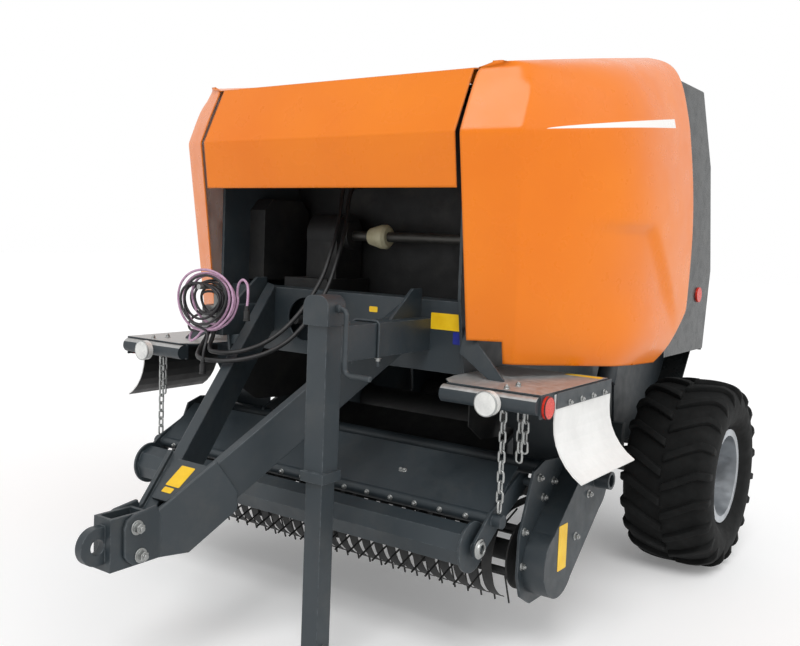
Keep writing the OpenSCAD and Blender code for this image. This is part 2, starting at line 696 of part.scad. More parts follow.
module rear_lamps() color(red) from_axle() both_sides() {
    translate([520, gate_outline[4][0], gate_outline[4][1]]) rotate([-rear_lean, 0, 0])
        translate([0, panel_t, 60]) cube([200, 34, 90]);
    bar_x([610, 1250], tailgate_half_w, tailgate_half_w + 10, 40);
}

// Tailgate cylinders
module along_cylinder() translate([0, barrel_pin[0], barrel_pin[1]]) rotate([cylinder_angle - 90, 0, 0])
    children();
module across_eye(x0, z, r, h) translate([x0, 0, z]) rotate([0, 90, 0]) cylinder(r = r, h = h);
module barrel() along_cylinder() {
    difference() {
        union() {
            translate([cylinder_x, 0, 30]) cylinder(r = barrel_r, h = barrel_len - 30);
            across_eye(cylinder_x - eye_w / 2, 0, eye_r, eye_w);
        }
        translate([cylinder_x, 0, 70]) cylinder(r = barrel_r - 10, h = barrel_len - 110);
        translate([cylinder_x, 0, 100]) cylinder(r = rod_r + 0.2, h = barrel_len);
        across_eye(cylinder_x - eye_w, 0, cylinder_pin_r + pin_fit, 2 * eye_w);
    }
}
module rod() along_cylinder() {
    translate([cylinder_x, 0, rod_tail]) cylinder(r = rod_r, h = cylinder_len - rod_tail - 30);
    across_eye(cylinder_x - eye_w / 2, cylinder_len, eye_r, eye_w);
    across_eye(lug_end + rest_gap, cylinder_len, cylinder_pin_r, cylinder_x + eye_w / 2 + 14 - lug_end);
}
module barrel_left() color(slate) from_axle() barrel();
module barrel_right() color(slate) from_axle() mirrored() barrel();
module rod_left() color(zinc) from_axle() rod();
module rod_right() color(zinc) from_axle() mirrored() rod();

// Front hood: bent sheet with hinge sleeves under its rear edge
hood_rear = hood_hinge_y - 22;
hood_outside = [hood_foot, hood_crease, roof_front, [hood_rear, roof_z(hood_rear)]];
hood_inside = [
    [hood_rear, roof_z(hood_rear) - panel_t], roof_front + [3, -panel_t - 1],
    hood_crease + [panel_t + 0.5, 0], hood_foot + [panel_t, 0]
];
module front_hood() color(orange) from_axle() {
    side_plate(concat(hood_outside, hood_inside), -hood_half_w, 2 * hood_half_w);
    both_sides() difference() {
        union() {
            bar_x([hood_hinge_y, hood_hinge_z], 300, 364, hinge_sleeve_r);
            side_plate([
                [hood_hinge_y - 60, roof_z(hood_hinge_y - 60) - panel_t], [hood_rear, roof_z(hood_rear) - panel_t],
                [hood_hinge_y + 2, hood_hinge_z + 8], [hood_hinge_y - 8, hood_hinge_z - 6]
            ], 300, 64);
        }
        bar_x([hood_hinge_y, hood_hinge_z], 299, 365, hinge_pin_r + pin_fit);
    }
}

// Side panels: one moulded shell lofted through level slices.
// Columns: height at the front, height at the rear, front edge, rear edge, overhang at the front corner,
// share of the full bulge at the middle and at the rear
panel_levels = [
    [1062, 1020, -1622, -660, 290, 0.86, 0.84, 0],
    [1110, 1090, -1636, -560, 292, 0.95, 0.92, 0],
    [1200, 1230, -1640, -440, 285, 1.00, 0.96, 0],
    [1500, 1560, -1640, -420, 258, 1.03, 0.975, 0],
    [1740, 1830, -1650, -418, 236, 1.00, 0.93, 0],
    [1874, 2010, -1670, -425, 225, 0.96, 0.88, 0],
    [1985, 2150, -1622, -428, 215, 0.88, 0.82, 0],
    [2070, 2250, -1580, -432, 190, 0.76, 0.745, 0],
    [2109, 2302, -1558, -436, 150, 0.62, 0.62, 0],
    [2126, 2322, -1542, -440, 85, 0.42, 0.42, 50]
];
// Cut-out at the foot of the front face, beside the cross beam: outer edge and upper edge
panel_notch = [panel_in + 216, 1140];
function slice(level, inset) = let(
    y0 = level[2] + inset,
    y1 = level[3],
    open_rear = inset > 0 ? [y1 + 300] : [],
    y_last = inset > 0 ? y1 + 300 : y1,
    zf = level[0], zr = level[1],
    yf = level[2], yr = level[3],
    x0 = inset > 0 ? panel_in - 60 : panel_in + level[7],
    xf = panel_in + level[4] - inset,
    xm = panel_in + level[5] * panel_bulge - inset,
    xr = panel_in + level[6] * panel_bulge - inset,
    places = concat(
        [[x0, y0], [xf, y0], [xf + (xm - xf) * 0.45, y0 + 90], [xf + (xm - xf) * 0.85, y0 + 320]],
        [[xm, (yf + yr) / 2 + 60], [xr, y1]],
        [for (y = open_rear) [xr, y]],
        [[x0, y_last]])
) [for (p = places) [p[0], p[1], zf + (zr - zf) * (p[1] - yf) / (yr - yf)]];
function lowered(ring, dz) = [for (p = ring) p + [0, 0, dz]];
top_level = len(panel_levels) - 1;
module side_panel() {
    difference() {
        loft([for (level = panel_levels) slice(level, 0)]);
        loft(concat(
            [lowered(slice(panel_levels[0], panel_t), -30)],
            [for (i = [1 : top_level - 1]) lowered(slice(panel_levels[i], panel_t), i < 6 ? 0 : -panel_t)]));
        block([panel_in - 1, panel_notch[0]], [-1700, -1500], [900, panel_notch[1]]);
    }
    for (y = [-1350, -560]) difference() {
        panel_hinge_frame(y) translate([0, 6, 0]) rotate([-90, 0, 0]) union() {
            cylinder(r = hinge_sleeve_r, h = 60);
            translate([0, 1 - panel_hinge_drop, 0]) cube([24, panel_hinge_drop - 1, 60]);
        }
        panel_hinge_frame(y) rotate([-90, 0, 0]) cylinder(r = hinge_pin_r + pin_fit, h = 90);
    }
}
module side_panel_left() color(orange) from_axle() side_panel();
module side_panel_right() color(orange) from_axle() mirrored() side_panel();

// Pickup
plate_outline = [
    [-1575, 330], [-1545, 250], [-1470, 205], [-1370, 205], [-1010, 440], [-1000, 560], [-1130, 690],
    [-1400, 715], [-1480, 690], [-1570, 480]
];
arm_outline = [
    pickup_hinge + [-40, 38], pickup_hinge + [34, 20], pickup_hinge + [34, -24], rear_tube + [25, -25],
    rear_tube + [-25, -25], upper_tube + [-20, -40], upper_tube + [-20, 36]
];
module pickup_frame() color(slate) from_axle() {
    both_sides() difference() {
        union() {
            side_plate(plate_outline, pickup_half_w, plate_t);
            bar_x(guard_hinge, guard_arm_in - 2, pickup_half_w + 1, guard_pin_r);
            side_plate(arm_outline, arm_in, arm_t);
        }
        bar_x(reel_axis, pickup_half_w - 1, pickup_half_w + plate_t + 1, reel_shaft_r + pin_fit);
        bar_x(pickup_hinge, arm_in - 1, arm_in + arm_t + 1, pickup_pin_r + pin_fit);
    }
    bar_x(upper_tube, -pickup_half_w - 1, pickup_half_w + 1, upper_tube_r);
    half = rear_tube_size / 2;
    block([-pickup_half_w - 1, pickup_half_w + 1], [rear_tube[0] - half, rear_tube[0] + half],
        [rear_tube[1] - half, rear_tube[1] + half]);
    socket_x = -pickup_half_w - plate_t - case_t;
    difference() {
        bar_x([gauge_y, gauge_z], socket_x - gauge_len, -pickup_half_w - 1, gauge_r);
        bar_x([gauge_y, gauge_z], socket_x - gauge_len - 1, socket_x, gauge_bore_d / 2);
    }
}
module strippers() color(dark_grey) from_axle() for (i = [-tine_half_n : tine_half_n])
    translate([i * tine_pitch - stripper_w / 2, reel_axis[0], reel_axis[1]]) rotate([90, 0, 90])
    linear_extrude(stripper_w) difference() {
        union() {
            intersection() {
                circle(r = stripper_r);
                polygon([[0, 0], [0, 400], [-400, 400], [-400, -400], [-136, -400]]);
            }
            translate([-1, stripper_r - 3]) square([deck_rear - reel_axis[0] + 1, 3]);
        }
        circle(r = stripper_r - 3);
    }
module chain_case() color(slate) from_axle() difference() {
    x0 = pickup_half_w + plate_t;
    run = case_top - reel_axis;
    across = (case_r - 4) * [-run[1], run[0]] / norm(run);
    union() {
        translate([x0, 0, 0]) rotate([90, 0, 90]) linear_extrude(case_t) union() {
            translate(reel_axis) circle(r = case_r);
            translate(case_top) circle(r = case_r);
            polygon([reel_axis + across, reel_axis - across, case_top - across, case_top + across]);
        }
        bar_x([gauge_y, gauge_z], x0 + case_t - 1, x0 + case_t + gauge_len, gauge_r);
    }
    bar_x([gauge_y, gauge_z], x0 + case_t - gauge_sink, x0 + case_t + gauge_len + 1, gauge_bore_d / 2);
}
module reel() color(rubber) from_axle() translate([0, reel_axis[0], reel_axis[1]]) {
    bar_x([0, 0], -pickup_half_w + 40, pickup_half_w - 40, reel_tube_r);
    bar_x([0, 0], -pickup_half_w - plate_t + 0.5, pickup_half_w + plate_t - 0.5, reel_shaft_r);
    for (x = [-840, -420, 0, 420, 834]) bar_x([0, 0], x, x + 6, tine_bar_circle + 16);
    for (b = [0 : tine_bars - 1]) rotate([360 * b / tine_bars + 20, 0, 0]) {
        bar_x([0, tine_bar_circle], -840, 840, tine_bar_r, 12);
        for (i = [-tine_half_n : tine_half_n - 1])
            translate([(i + 0.5) * tine_pitch, 0, tine_bar_circle])
                cylinder(d = tine_d, h = tine_reach - tine_bar_circle, $fn = 6);
    }
}
guard_arm = [
    guard_hinge + [28, -20], guard_hinge + [28, 22], guard_hinge + [-30, 36], guard_pipe + [-20, 34],
    press_axis + [-30, 26], press_axis + [-30, -24], press_axis + [24, -30], guard_pipe + [30, -34]
];
guard_sheet = [guard_pipe + [-14, 16], [-1490, 700], [-1487, 696], guard_pipe + [-4, 12]];
module crop_guard() color(slate) from_axle() {
    bar_x(guard_pipe, -guard_pipe_end, guard_pipe_end, guard_pipe_d / 2);
    both_sides() difference() {
        side_plate(guard_arm, guard_arm_in, plate_t);
        bar_x(guard_hinge, guard_arm_in - 1, guard_arm_in + plate_t + 1, guard_pin_r + pin_fit);
        bar_x(press_axis, guard_arm_in - 1, guard_arm_in + plate_t + 1, guard_pin_r + pin_fit);
    }
    side_plate(guard_sheet, -guard_arm_in - 1, 2 * guard_arm_in + 2);
}
module press_roller() color(slate) from_axle() {
    bar_x(press_axis, -press_half_w, press_half_w, press_d / 2, 8);
    both_sides() {
        bar_x(press_axis, press_half_w - 1, press_half_w + 8, press_disc_d / 2);
        bar_x(press_axis, press_half_w + 7, guard_arm_in + plate_t + 4, guard_pin_r);
    }
}

side_wall_left();
side_wall_right();
front_wall();
front_beam();
side_rails();
axle();
drawbar();
hitch_block();
jack_tube();
jack_crank();
gearbox();
cross_shaft();
shaft_guard();
drive_case();
front_rollers();
roof_cover();
platform_left();
platform_right();
front_lamps();
side_reflectors();
flaps();
hose_holder();
hose_upper();
hose_lower();
cable_coil();
guard_chain_left();
guard_chain_right();
tyre_left();
rim_left();
tyre_right();
rim_right();
tailgate_walls();
tailgate_cover();
tailgate_sides();
tailgate_rollers();
rear_lamps();
barrel_left();
rod_left();
barrel_right();
rod_right();
front_hood();
side_panel_left();
side_panel_right();
pickup_frame();
strippers();
chain_case();
reel();
crop_guard();
press_roller();
jack_leg();
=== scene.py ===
"""Looks of the round pickup baler.

Sizes are in metres. Lists of places and outlines are in millimetres from the axle, which stands at y = AXLE.
"""
import math

import bpy
from mathutils import Matrix, Vector

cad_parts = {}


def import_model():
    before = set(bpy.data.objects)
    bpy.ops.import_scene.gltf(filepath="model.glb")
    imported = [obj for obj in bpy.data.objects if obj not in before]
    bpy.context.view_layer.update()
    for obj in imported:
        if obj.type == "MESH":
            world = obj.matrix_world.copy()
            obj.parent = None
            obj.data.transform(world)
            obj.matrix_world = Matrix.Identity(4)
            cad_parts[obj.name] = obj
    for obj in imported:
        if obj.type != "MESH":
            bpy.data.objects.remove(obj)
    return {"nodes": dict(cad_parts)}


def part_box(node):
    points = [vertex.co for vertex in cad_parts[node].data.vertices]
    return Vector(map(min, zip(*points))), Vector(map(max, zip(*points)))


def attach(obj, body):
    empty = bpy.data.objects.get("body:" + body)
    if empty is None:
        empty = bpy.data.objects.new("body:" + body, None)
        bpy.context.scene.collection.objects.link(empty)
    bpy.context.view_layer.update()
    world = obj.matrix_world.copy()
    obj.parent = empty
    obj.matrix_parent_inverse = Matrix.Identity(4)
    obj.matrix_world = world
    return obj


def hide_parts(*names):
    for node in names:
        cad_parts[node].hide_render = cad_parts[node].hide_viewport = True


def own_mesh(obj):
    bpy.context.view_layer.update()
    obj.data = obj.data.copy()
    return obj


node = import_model()["nodes"]
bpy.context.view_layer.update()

# Camera: it stands in front of the machine's left corner, higher than the deck of the platforms,
# looks slightly down and leans a little to one side.
AXLE = 0.956
eye = Vector((2.31, AXLE - 4.41, 1.50))
yaw, pitch, roll = math.radians(36.3), math.radians(4.4), math.radians(2.07)
ahead = Vector((-math.sin(yaw) * math.cos(pitch), math.cos(yaw) * math.cos(pitch), -math.sin(pitch)))
level = Vector((math.cos(yaw), math.sin(yaw), 0))
overhead = level.cross(ahead)
right = level * math.cos(roll) + overhead * math.sin(roll)
top = overhead * math.cos(roll) - level * math.sin(roll)
camera = bpy.data.objects.new("camera", bpy.data.cameras.new("camera"))
camera.data.lens = 41.2
camera.data.sensor_width = 36
camera.data.shift_x = 0.035
camera.data.shift_y = -0.02
camera.matrix_world = Matrix((
    (right.x, top.x, -ahead.x, eye.x),
    (right.y, top.y, -ahead.y, eye.y),
    (right.z, top.z, -ahead.z, eye.z),
    (0, 0, 0, 1),
))
bpy.context.scene.collection.objects.link(camera)
bpy.context.scene.camera = camera
bpy.context.scene.view_settings.view_transform = "Standard"


# Studio: a white sheet of floor, a white surround that only lens, reflections and glass see at full
# strength, and two broad soft lamps, the brighter one from above and in front.
def deselect():
    bpy.ops.object.select_all(action="DESELECT")


def colour(red, green, blue):
    """Screen colour, 0 to 255, as the linear value that a shader takes."""
    screen = (red, green, blue)
    return tuple(((c / 255 + 0.055) / 1.055) ** 2.4 if c > 10 else c / 3294.6 for c in screen) + (1,)


deselect()
bpy.ops.mesh.primitive_plane_add(size=80, location=(0, 0, -0.001))
studio_floor = bpy.context.object
studio_floor.name = "studio_floor"
floor_white = bpy.data.materials.new("floor_white")
floor_white.use_nodes = True
floor_shader = floor_white.node_tree.nodes["Principled BSDF"]
floor_shader.inputs["Base Color"].default_value = (0.93, 0.93, 0.93, 1)
floor_shader.inputs["Roughness"].default_value = 0.9
floor_shader.inputs["Specular IOR Level"].default_value = 0.1
floor_shader.inputs["Emission Color"].default_value = (1, 1, 1, 1)
floor_shader.inputs["Emission Strength"].default_value = 0.16
studio_floor.data.materials.append(floor_white)

surround = bpy.data.worlds.new("surround")
bpy.context.scene.world = surround
surround.use_nodes = True
sky = surround.node_tree.nodes
sky_link = surround.node_tree.links.new
rays = sky.new("ShaderNodeLightPath")
seen = sky.new("ShaderNodeMath")
seen.operation = "MAXIMUM"
clear = sky.new("ShaderNodeMath")
clear.operation = "MAXIMUM"
glow = sky.new("ShaderNodeMapRange")
glow.inputs["To Min"].default_value = 0.55
glow.inputs["To Max"].default_value = 1.0
sky_link(rays.outputs["Is Camera Ray"], seen.inputs[0])
sky_link(rays.outputs["Is Glossy Ray"], seen.inputs[1])
sky_link(seen.outputs[0], clear.inputs[0])
sky_link(rays.outputs["Is Transmission Ray"], clear.inputs[1])
sky_link(clear.outputs[0], glow.inputs["Value"])
sky_link(glow.outputs["Result"], sky["Background"].inputs["Strength"])
sky["Background"].inputs["Color"].default_value = (1, 1, 1, 1)


def soft_lamp(name, strength, spread, points_to):
    lamp = bpy.data.objects.new(name, bpy.data.lights.new(name, "SUN"))
    lamp.data.energy = strength
    lamp.data.angle = math.radians(spread)
    lamp.rotation_mode = "QUATERNION"
    lamp.rotation_quaternion = Vector(points_to).to_track_quat("-Z", "Y")
    bpy.context.scene.collection.objects.link(lamp)


soft_lamp("key_lamp", 1.34, 28, (-0.35, 0.75, -1.0))
soft_lamp("fill_lamp", 0.5, 60, (-0.9, -0.1, -0.7))


# Frame: side walls, cross beam, rails, axle and hitch block, of welded steel plate and tube in a satin slate
# paint, thin on the arrises, where the primer shows, with a little field dust on it.
def new_finish(name):
    made = bpy.data.materials.new(name)
    made.use_nodes = True
    tree = made.node_tree
    return made, tree, tree.nodes["Principled BSDF"], tree.nodes.new("ShaderNodeTexCoord").outputs["Object"]


def mottle(tree, place, scale, detail=4, roughness=0.55):
    cloud = tree.nodes.new("ShaderNodeTexNoise")
    cloud.inputs["Scale"].default_value = scale
    cloud.inputs["Detail"].default_value = detail
    cloud.inputs["Roughness"].default_value = roughness
    tree.links.new(place, cloud.inputs["Vector"])
    return cloud.outputs["Fac"]


def shaded(tree, factor, low, high, start=0.3, end=0.7):
    """Colour that runs from low to high as the factor goes from start to end."""
    ramp = tree.nodes.new("ShaderNodeValToRGB")
    ramp.color_ramp.elements[0].position = start
    ramp.color_ramp.elements[0].color = low
    ramp.color_ramp.elements[1].position = end
    ramp.color_ramp.elements[1].color = high
    tree.links.new(factor, ramp.inputs["Fac"])
    return ramp.outputs["Color"]


def ranged(tree, factor, start, end, low, high):
    """Value that runs from low to high as the factor goes from start to end."""
    span = tree.nodes.new("ShaderNodeMapRange")
    span.inputs["From Min"].default_value = start
    span.inputs["From Max"].default_value = end
    span.inputs["To Min"].default_value = low
    span.inputs["To Max"].default_value = high
    tree.links.new(factor, span.inputs["Value"])
    return span.outputs["Result"]


def mixed(tree, factor, under, over):
    """Colour under where the factor is 0, colour over where it is 1."""
    mix = tree.nodes.new("ShaderNodeMix")
    mix.data_type = "RGBA"
    tree.links.new(factor, mix.inputs["Factor"])
    for value, socket in ((under, mix.inputs["A"]), (over, mix.inputs["B"])):
        if isinstance(value, tuple):
            socket.default_value = value
        else:
            tree.links.new(value, socket)
    return mix.outputs["Result"]


def product(tree, a, b):
    times = tree.nodes.new("ShaderNodeMath")
    times.operation = "MULTIPLY"
    tree.links.new(a, times.inputs[0])
    tree.links.new(b, times.inputs[1])
    return times.outputs[0]


def relief(tree, shader, height, depth, strength=0.5, under=None):
    bump = tree.nodes.new("ShaderNodeBump")
    bump.inputs["Distance"].default_value = depth
    bump.inputs["Strength"].default_value = strength
    tree.links.new(height, bump.inputs["Height"])
    if under is not None:
        tree.links.new(under, bump.inputs["Normal"])
    tree.links.new(bump.outputs["Normal"], shader.inputs["Normal"])


def rounded_arris(tree, radius):
    """Normal that runs round sharp edges, and a mask that is 1 on them."""
    soft = tree.nodes.new("ShaderNodeBevel")
    soft.samples = 6
    soft.inputs["Radius"].default_value = radius
    flat = tree.nodes.new("ShaderNodeNewGeometry")
    turn = tree.nodes.new("ShaderNodeVectorMath")
    turn.operation = "DOT_PRODUCT"
    tree.links.new(soft.outputs["Normal"], turn.inputs[0])
    tree.links.new(flat.outputs["True Normal"], turn.inputs[1])
    return soft.outputs["Normal"], ranged(tree, turn.outputs["Value"], 0.995, 0.86, 0, 1)


def steel_paint(name, paint, worn, sheen, radius=0.005):
    made, tree, shader, place = new_finish(name)
    dark = tuple(c * 0.82 for c in paint[:3]) + (1,)
    light = tuple(min(1, c * 1.16) for c in paint[:3]) + (1,)
    coat = shaded(tree, mottle(tree, place, 2.3), dark, light)
    normal, edge = rounded_arris(tree, radius)
    rubbed = product(tree, edge, ranged(tree, mottle(tree, place, 38), 0.42, 0.62, 0, 0.75))
    dust = ranged(tree, mottle(tree, place, 7, 6, 0.7), 0.5, 0.8, 0, 0.13)
    coat = mixed(tree, dust, coat, colour(112, 106, 96))
    gloss = ranged(tree, mottle(tree, place, 16), 0.3, 0.7, sheen - 0.07, sheen + 0.1)
    tree.links.new(mixed(tree, rubbed, coat, worn), shader.inputs["Base Color"])
    tree.links.new(gloss, shader.inputs["Roughness"])
    relief(tree, shader, mottle(tree, place, 420, 2), 0.0006, 0.25, normal)
    return made


def dress(finish, *names):
    for name in names:
        node[name].data.materials.clear()
        node[name].data.materials.append(finish)


slate = colour(43, 51, 56)
slate_paint = steel_paint("slate_paint", slate, colour(104, 112, 116), 0.44)
dress(slate_paint, "side_wall_left", "side_wall_right", "front_beam", "side_rails", "axle", "hitch_block")


# Drawbar: two slim rectangular tubes that meet at the nose, where cheek plates, a short box and a sloped top
# plate are welded round them; their rear ends stand on the cross beam. It has the frame's paint.
def from_axle(points):
    """Points given in millimetres from the axle, in metres in the frame."""
    return [Vector((x / 1000, y / 1000 + AXLE, z / 1000)) for x, y, z in points]


def pick(made, kind, wanted):
    """Selects the faces, edges or vertices of a piece that the test picks, and leaves it in edit mode."""
    bpy.context.view_layer.objects.active = made
    bpy.ops.object.mode_set(mode="EDIT")
    bpy.ops.mesh.select_mode(type=kind)
    bpy.ops.mesh.select_all(action="DESELECT")
    bpy.ops.object.mode_set(mode="OBJECT")
    for item in {"FACE": made.data.polygons, "EDGE": made.data.edges, "VERT": made.data.vertices}[kind]:
        item.select = wanted(item)
    bpy.ops.object.mode_set(mode="EDIT")


def cut(made, places):
    """Cuts a piece flat at each place, along each outward direction, and closes the cuts."""
    for place, direction in places:
        pick(made, "FACE", lambda face: True)
        at = from_axle((place,))[0]
        bpy.ops.mesh.bisect(plane_co=at, plane_no=direction, use_fill=True, clear_outer=True)
        bpy.ops.object.mode_set(mode="OBJECT")


def block(low, high, place):
    """Cuboid between two corners in millimetres, set by a matrix in metres."""
    deselect()
    bpy.ops.mesh.primitive_cube_add(size=1)
    made = bpy.context.object
    made.scale = [(b - a) / 1000 for a, b in zip(low, high)]
    made.location = [(a + b) / 2000 for a, b in zip(low, high)]
    bpy.ops.object.transform_apply(location=True, rotation=True, scale=True)
    made.matrix_world = place
    bpy.ops.object.transform_apply(location=True, rotation=True, scale=True)
    return made


def flat_plate(outline, thickness, place):
    """Plate cut to an outline in its own plane, in millimetres, set by a matrix in metres."""
    deselect()
    bpy.ops.mesh.primitive_circle_add(vertices=len(outline), fill_type="NGON")
    made = bpy.context.object
    for vertex, (a, b) in zip(made.data.vertices, outline):
        vertex.co = (a / 1000, b / 1000, 0)
    bpy.ops.object.mode_set(mode="EDIT")
    bpy.ops.mesh.select_all(action="SELECT")
    bpy.ops.mesh.extrude_region_move(TRANSFORM_OT_translate={"value": (0, 0, thickness / 1000)})
    bpy.ops.mesh.select_all(action="SELECT")
    bpy.ops.mesh.normals_make_consistent(inside=False)
    bpy.ops.object.mode_set(mode="OBJECT")
    made.matrix_world = place
    bpy.ops.object.transform_apply(location=True, rotation=True, scale=True)
    return made


def apply_modifier(made, kind, **settings):
    bpy.context.view_layer.objects.active = made
    modifier = made.modifiers.new(kind.lower(), kind)
    for key, value in settings.items():
        setattr(modifier, key, value)
    bpy.ops.object.modifier_apply(modifier=modifier.name)


def eased_arrises(made, width, angle):
    """Rounds the edges of a piece that turn by more than an angle in degrees."""
    apply_modifier(made, "BEVEL", width=width, segments=2, limit_method="ANGLE",
                   angle_limit=math.radians(angle))


def turned_out(made):
    """Merges doubles and turns all faces of a piece outwards."""
    bpy.context.view_layer.objects.active = made
    bpy.ops.object.mode_set(mode="EDIT")
    bpy.ops.mesh.select_all(action="SELECT")
    bpy.ops.mesh.remove_doubles(threshold=0.00005)
    bpy.ops.mesh.normals_make_consistent(inside=False)
    bpy.ops.object.mode_set(mode="OBJECT")


def join(pieces):
    """One piece from several; the first one stays."""
    deselect()
    for piece in pieces:
        piece.select_set(True)
    bpy.context.view_layer.objects.active = pieces[0]
    bpy.ops.object.join()
    return pieces[0]


def settle(made, name, finish, body):
    """Ends a piece: its place goes into its mesh, it gets its finish, and it rides on its body."""
    if made.mode != "OBJECT":
        bpy.ops.object.mode_set(mode="OBJECT")
    deselect()
    made.select_set(True)
    bpy.context.view_layer.objects.active = made
    bpy.ops.object.transform_apply(location=True, rotation=True, scale=True)
    made.name = name
    made.data.materials.clear()
    made.data.materials.append(finish)
    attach(made, body)
    return made


def mirrored(side):
    """Keeps the left side, 1, as it is, and mirrors it to the right, -1."""
    return Matrix.Scale(side, 4, (1, 0, 0))


sides = ((1, "left"), (-1, "right"))
# Width and height of a leg in millimetres, and how far it spreads and rises to the rear
leg_w, leg_h, leg_yaw = 44, 150, math.atan(0.368)
leg_pitch = math.atan(0.75 * math.cos(leg_yaw))
leg_tilt = Matrix.Rotation(leg_pitch, 4, "X")
axle_frame = Matrix.Translation((0, AXLE, 0))
# Turns an outline of (y, z) points up, its thickness running along x
lengthwise = Matrix(((0, 0, 1, 0), (1, 0, 0, 0), (0, 1, 0, 0), (0, 0, 0, 1)))
nose_outline = ((-2588, 455), (-2598, 470), (-2600, 560), (-2590, 585), (-2560, 598), (-2470, 610),
                (-2450, 560), (-2450, 433), (-2560, 433))
parts = [block((-41, -2500, 445), (41, -2330, 577), axle_frame)]
for side in (1, -1):
    leg_frame = axle_frame @ mirrored(side) @ Matrix.Translation((0.064, -2.262, 0.707)) \
        @ Matrix.Rotation(-leg_yaw, 4, "Z") @ leg_tilt
    leg = block((0, -400, -leg_h), (leg_w, 1300, 0), leg_frame)
    cut(leg, (((0, -1500, 0), (0, 1, 0)), ((0, 0, 445), (0, 0, -1)),
              ((0, -2500, 0), (0, -1, 0)), ((0, 0, 0), (-side, 0, 0))))
    cheek = block((leg_w - 1, -330, -leg_h - 25), (leg_w + 14, 20, 15), leg_frame)
    cut(cheek, (((0, -2200, 0), (0, 1, 0)), ((0, -2520, 0), (0, -1, 0)),
                ((0, 0, 433), (0, 0, -1)), ((side * 41, 0, 0), (-side, 0, 0))))
    nose_place = axle_frame @ mirrored(side) @ Matrix.Translation((0.041, 0, 0)) @ lengthwise
    nose = flat_plate(nose_outline, 14, nose_place)
    for made in (leg, cheek, nose):
        turned_out(made)
        eased_arrises(made, 0.004, 50)
        parts.append(made)
top_place = axle_frame @ Matrix.Translation((0, -2.262, 0.707)) @ leg_tilt
top_place = top_place @ Matrix.Translation((0, 0, 0.001))
parts.append(flat_plate(((-36, -185), (36, -185), (90, -12), (-90, -12)), 8, top_place))
drawbar = settle(join(parts), "welded_drawbar", slate_paint, "chassis")
dress(slate_paint, "drawbar")
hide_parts("drawbar")


# Front bay: cross sheet, gearbox, chain case and chamber rollers in a dull black paint, a bare steel
# cross shaft between them, its colour darkened as painted shade, and a cream plastic cone that guards the
# shaft's joint.
def bright_metal(name, tone, sheen, grain):
    """Bare or plated metal, faintly clouded, with a painted highlight on its edges."""
    made, tree, shader, place = new_finish(name)
    cloud = mottle(tree, place, grain, 5)
    dark = tuple(c * 0.72 for c in tone[:3]) + (1,)
    normal, edge = rounded_arris(tree, 0.002)
    # Painted highlight: the colour is mixed towards near-white on every edge.
    skin = mixed(tree, edge, shaded(tree, cloud, dark, tone), colour(214, 216, 216))
    tree.links.new(skin, shader.inputs["Base Color"])
    tree.links.new(ranged(tree, cloud, 0.3, 0.7, sheen - 0.08, sheen + 0.12), shader.inputs["Roughness"])
    shader.inputs["Metallic"].default_value = 0.85
    relief(tree, shader, mottle(tree, place, grain * 12, 2), 0.0003, 0.3, normal)
    return made


def moulded(name, low, high, sheen, grain, depth):
    """Plastic or rubber between two colours, with a fine grain of a given depth."""
    made, tree, shader, place = new_finish(name)
    skin = shaded(tree, mottle(tree, place, grain, 6, 0.65), low, high)
    gloss = ranged(tree, mottle(tree, place, grain * 3), 0.3, 0.7, sheen - 0.08, sheen + 0.08)
    tree.links.new(skin, shader.inputs["Base Color"])
    tree.links.new(gloss, shader.inputs["Roughness"])
    relief(tree, shader, mottle(tree, place, grain * 30, 3), depth, 0.35)
    return made


bay_black = steel_paint("bay_black", colour(22, 23, 24), colour(70, 70, 68), 0.6, 0.003)
dress(bay_black, "front_wall", "gearbox", "drive_case", "front_rollers")
# Painted shade: the cross shaft's steel is coloured darker to stand for the shade in the bay.
shaft_steel_painted_shade = bright_metal("shaft_steel_painted_shade", colour(92, 91, 88), 0.5, 30)
dress(shaft_steel_painted_shade, "cross_shaft")
cone_cream = moulded("cone_cream", colour(196, 188, 150), colour(224, 217, 184), 0.5, 12, 0.0003)
dress(cone_cream, "shaft_guard")

# Throat: a bent floor sheet and two side sheets behind the drawbar, which lead the crop into the chamber.
# They are folded steel in the bay's black paint, welded between the side walls.
feed_outline = ((-955, 572), (-760, 660), (-750, 660), (-750, 654), (-759, 654), (-952, 566))
feed_place = axle_frame @ Matrix.Translation((-0.595, 0, 0)) @ lengthwise
settle(flat_plate(feed_outline, 1190, feed_place), "feed_sheet", bay_black, "chassis")
throat_outline = ((-1440, 1085), (-1440, 800), (-1340, 735), (-1180, 722), (-960, 722), (-960, 1085))
for side, name in sides:
    throat_place = axle_frame @ mirrored(side) @ Matrix.Translation((0.596, 0, 0)) @ lengthwise
    throat = flat_plate(throat_outline, 4, throat_place)
    turned_out(throat)
    settle(throat, "throat_sheet_" + name, bay_black, "chassis")

# Rims: pressed steel discs in silver paint, dull where mud was washed off, bolted to the hubs. They are the
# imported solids, and turn with the tyres.
rim_silver = bright_metal("rim_silver", colour(190, 194, 198), 0.42, 14)
dress(rim_silver, "rim_left", "rim_right")

# Tyres: black low-pressure rubber with rounded shoulders; twenty chevron bars a side run from the crown
# over the shoulder. They sit on the rims' beads.
tyre_rubber = moulded("tyre_rubber", colour(9, 10, 10), colour(22, 23, 23), 0.8, 9, 0.0008)
tyre_rubber.node_tree.nodes["Principled BSDF"].inputs["Specular IOR Level"].default_value = 0.2
dress(tyre_rubber, "tyre_left", "tyre_right")
wheel_r, tyre_half, rim_r, wheel_x = 0.44, 0.2, 0.197, 1.0
bar_h, bar_count, bar_reach, bar_slant = 0.022, 20, 0.246, math.radians(28)
bar_half_top, bar_half_foot = 0.0155, 0.021
carcass = wheel_r - bar_h
bead = tyre_half - 0.045
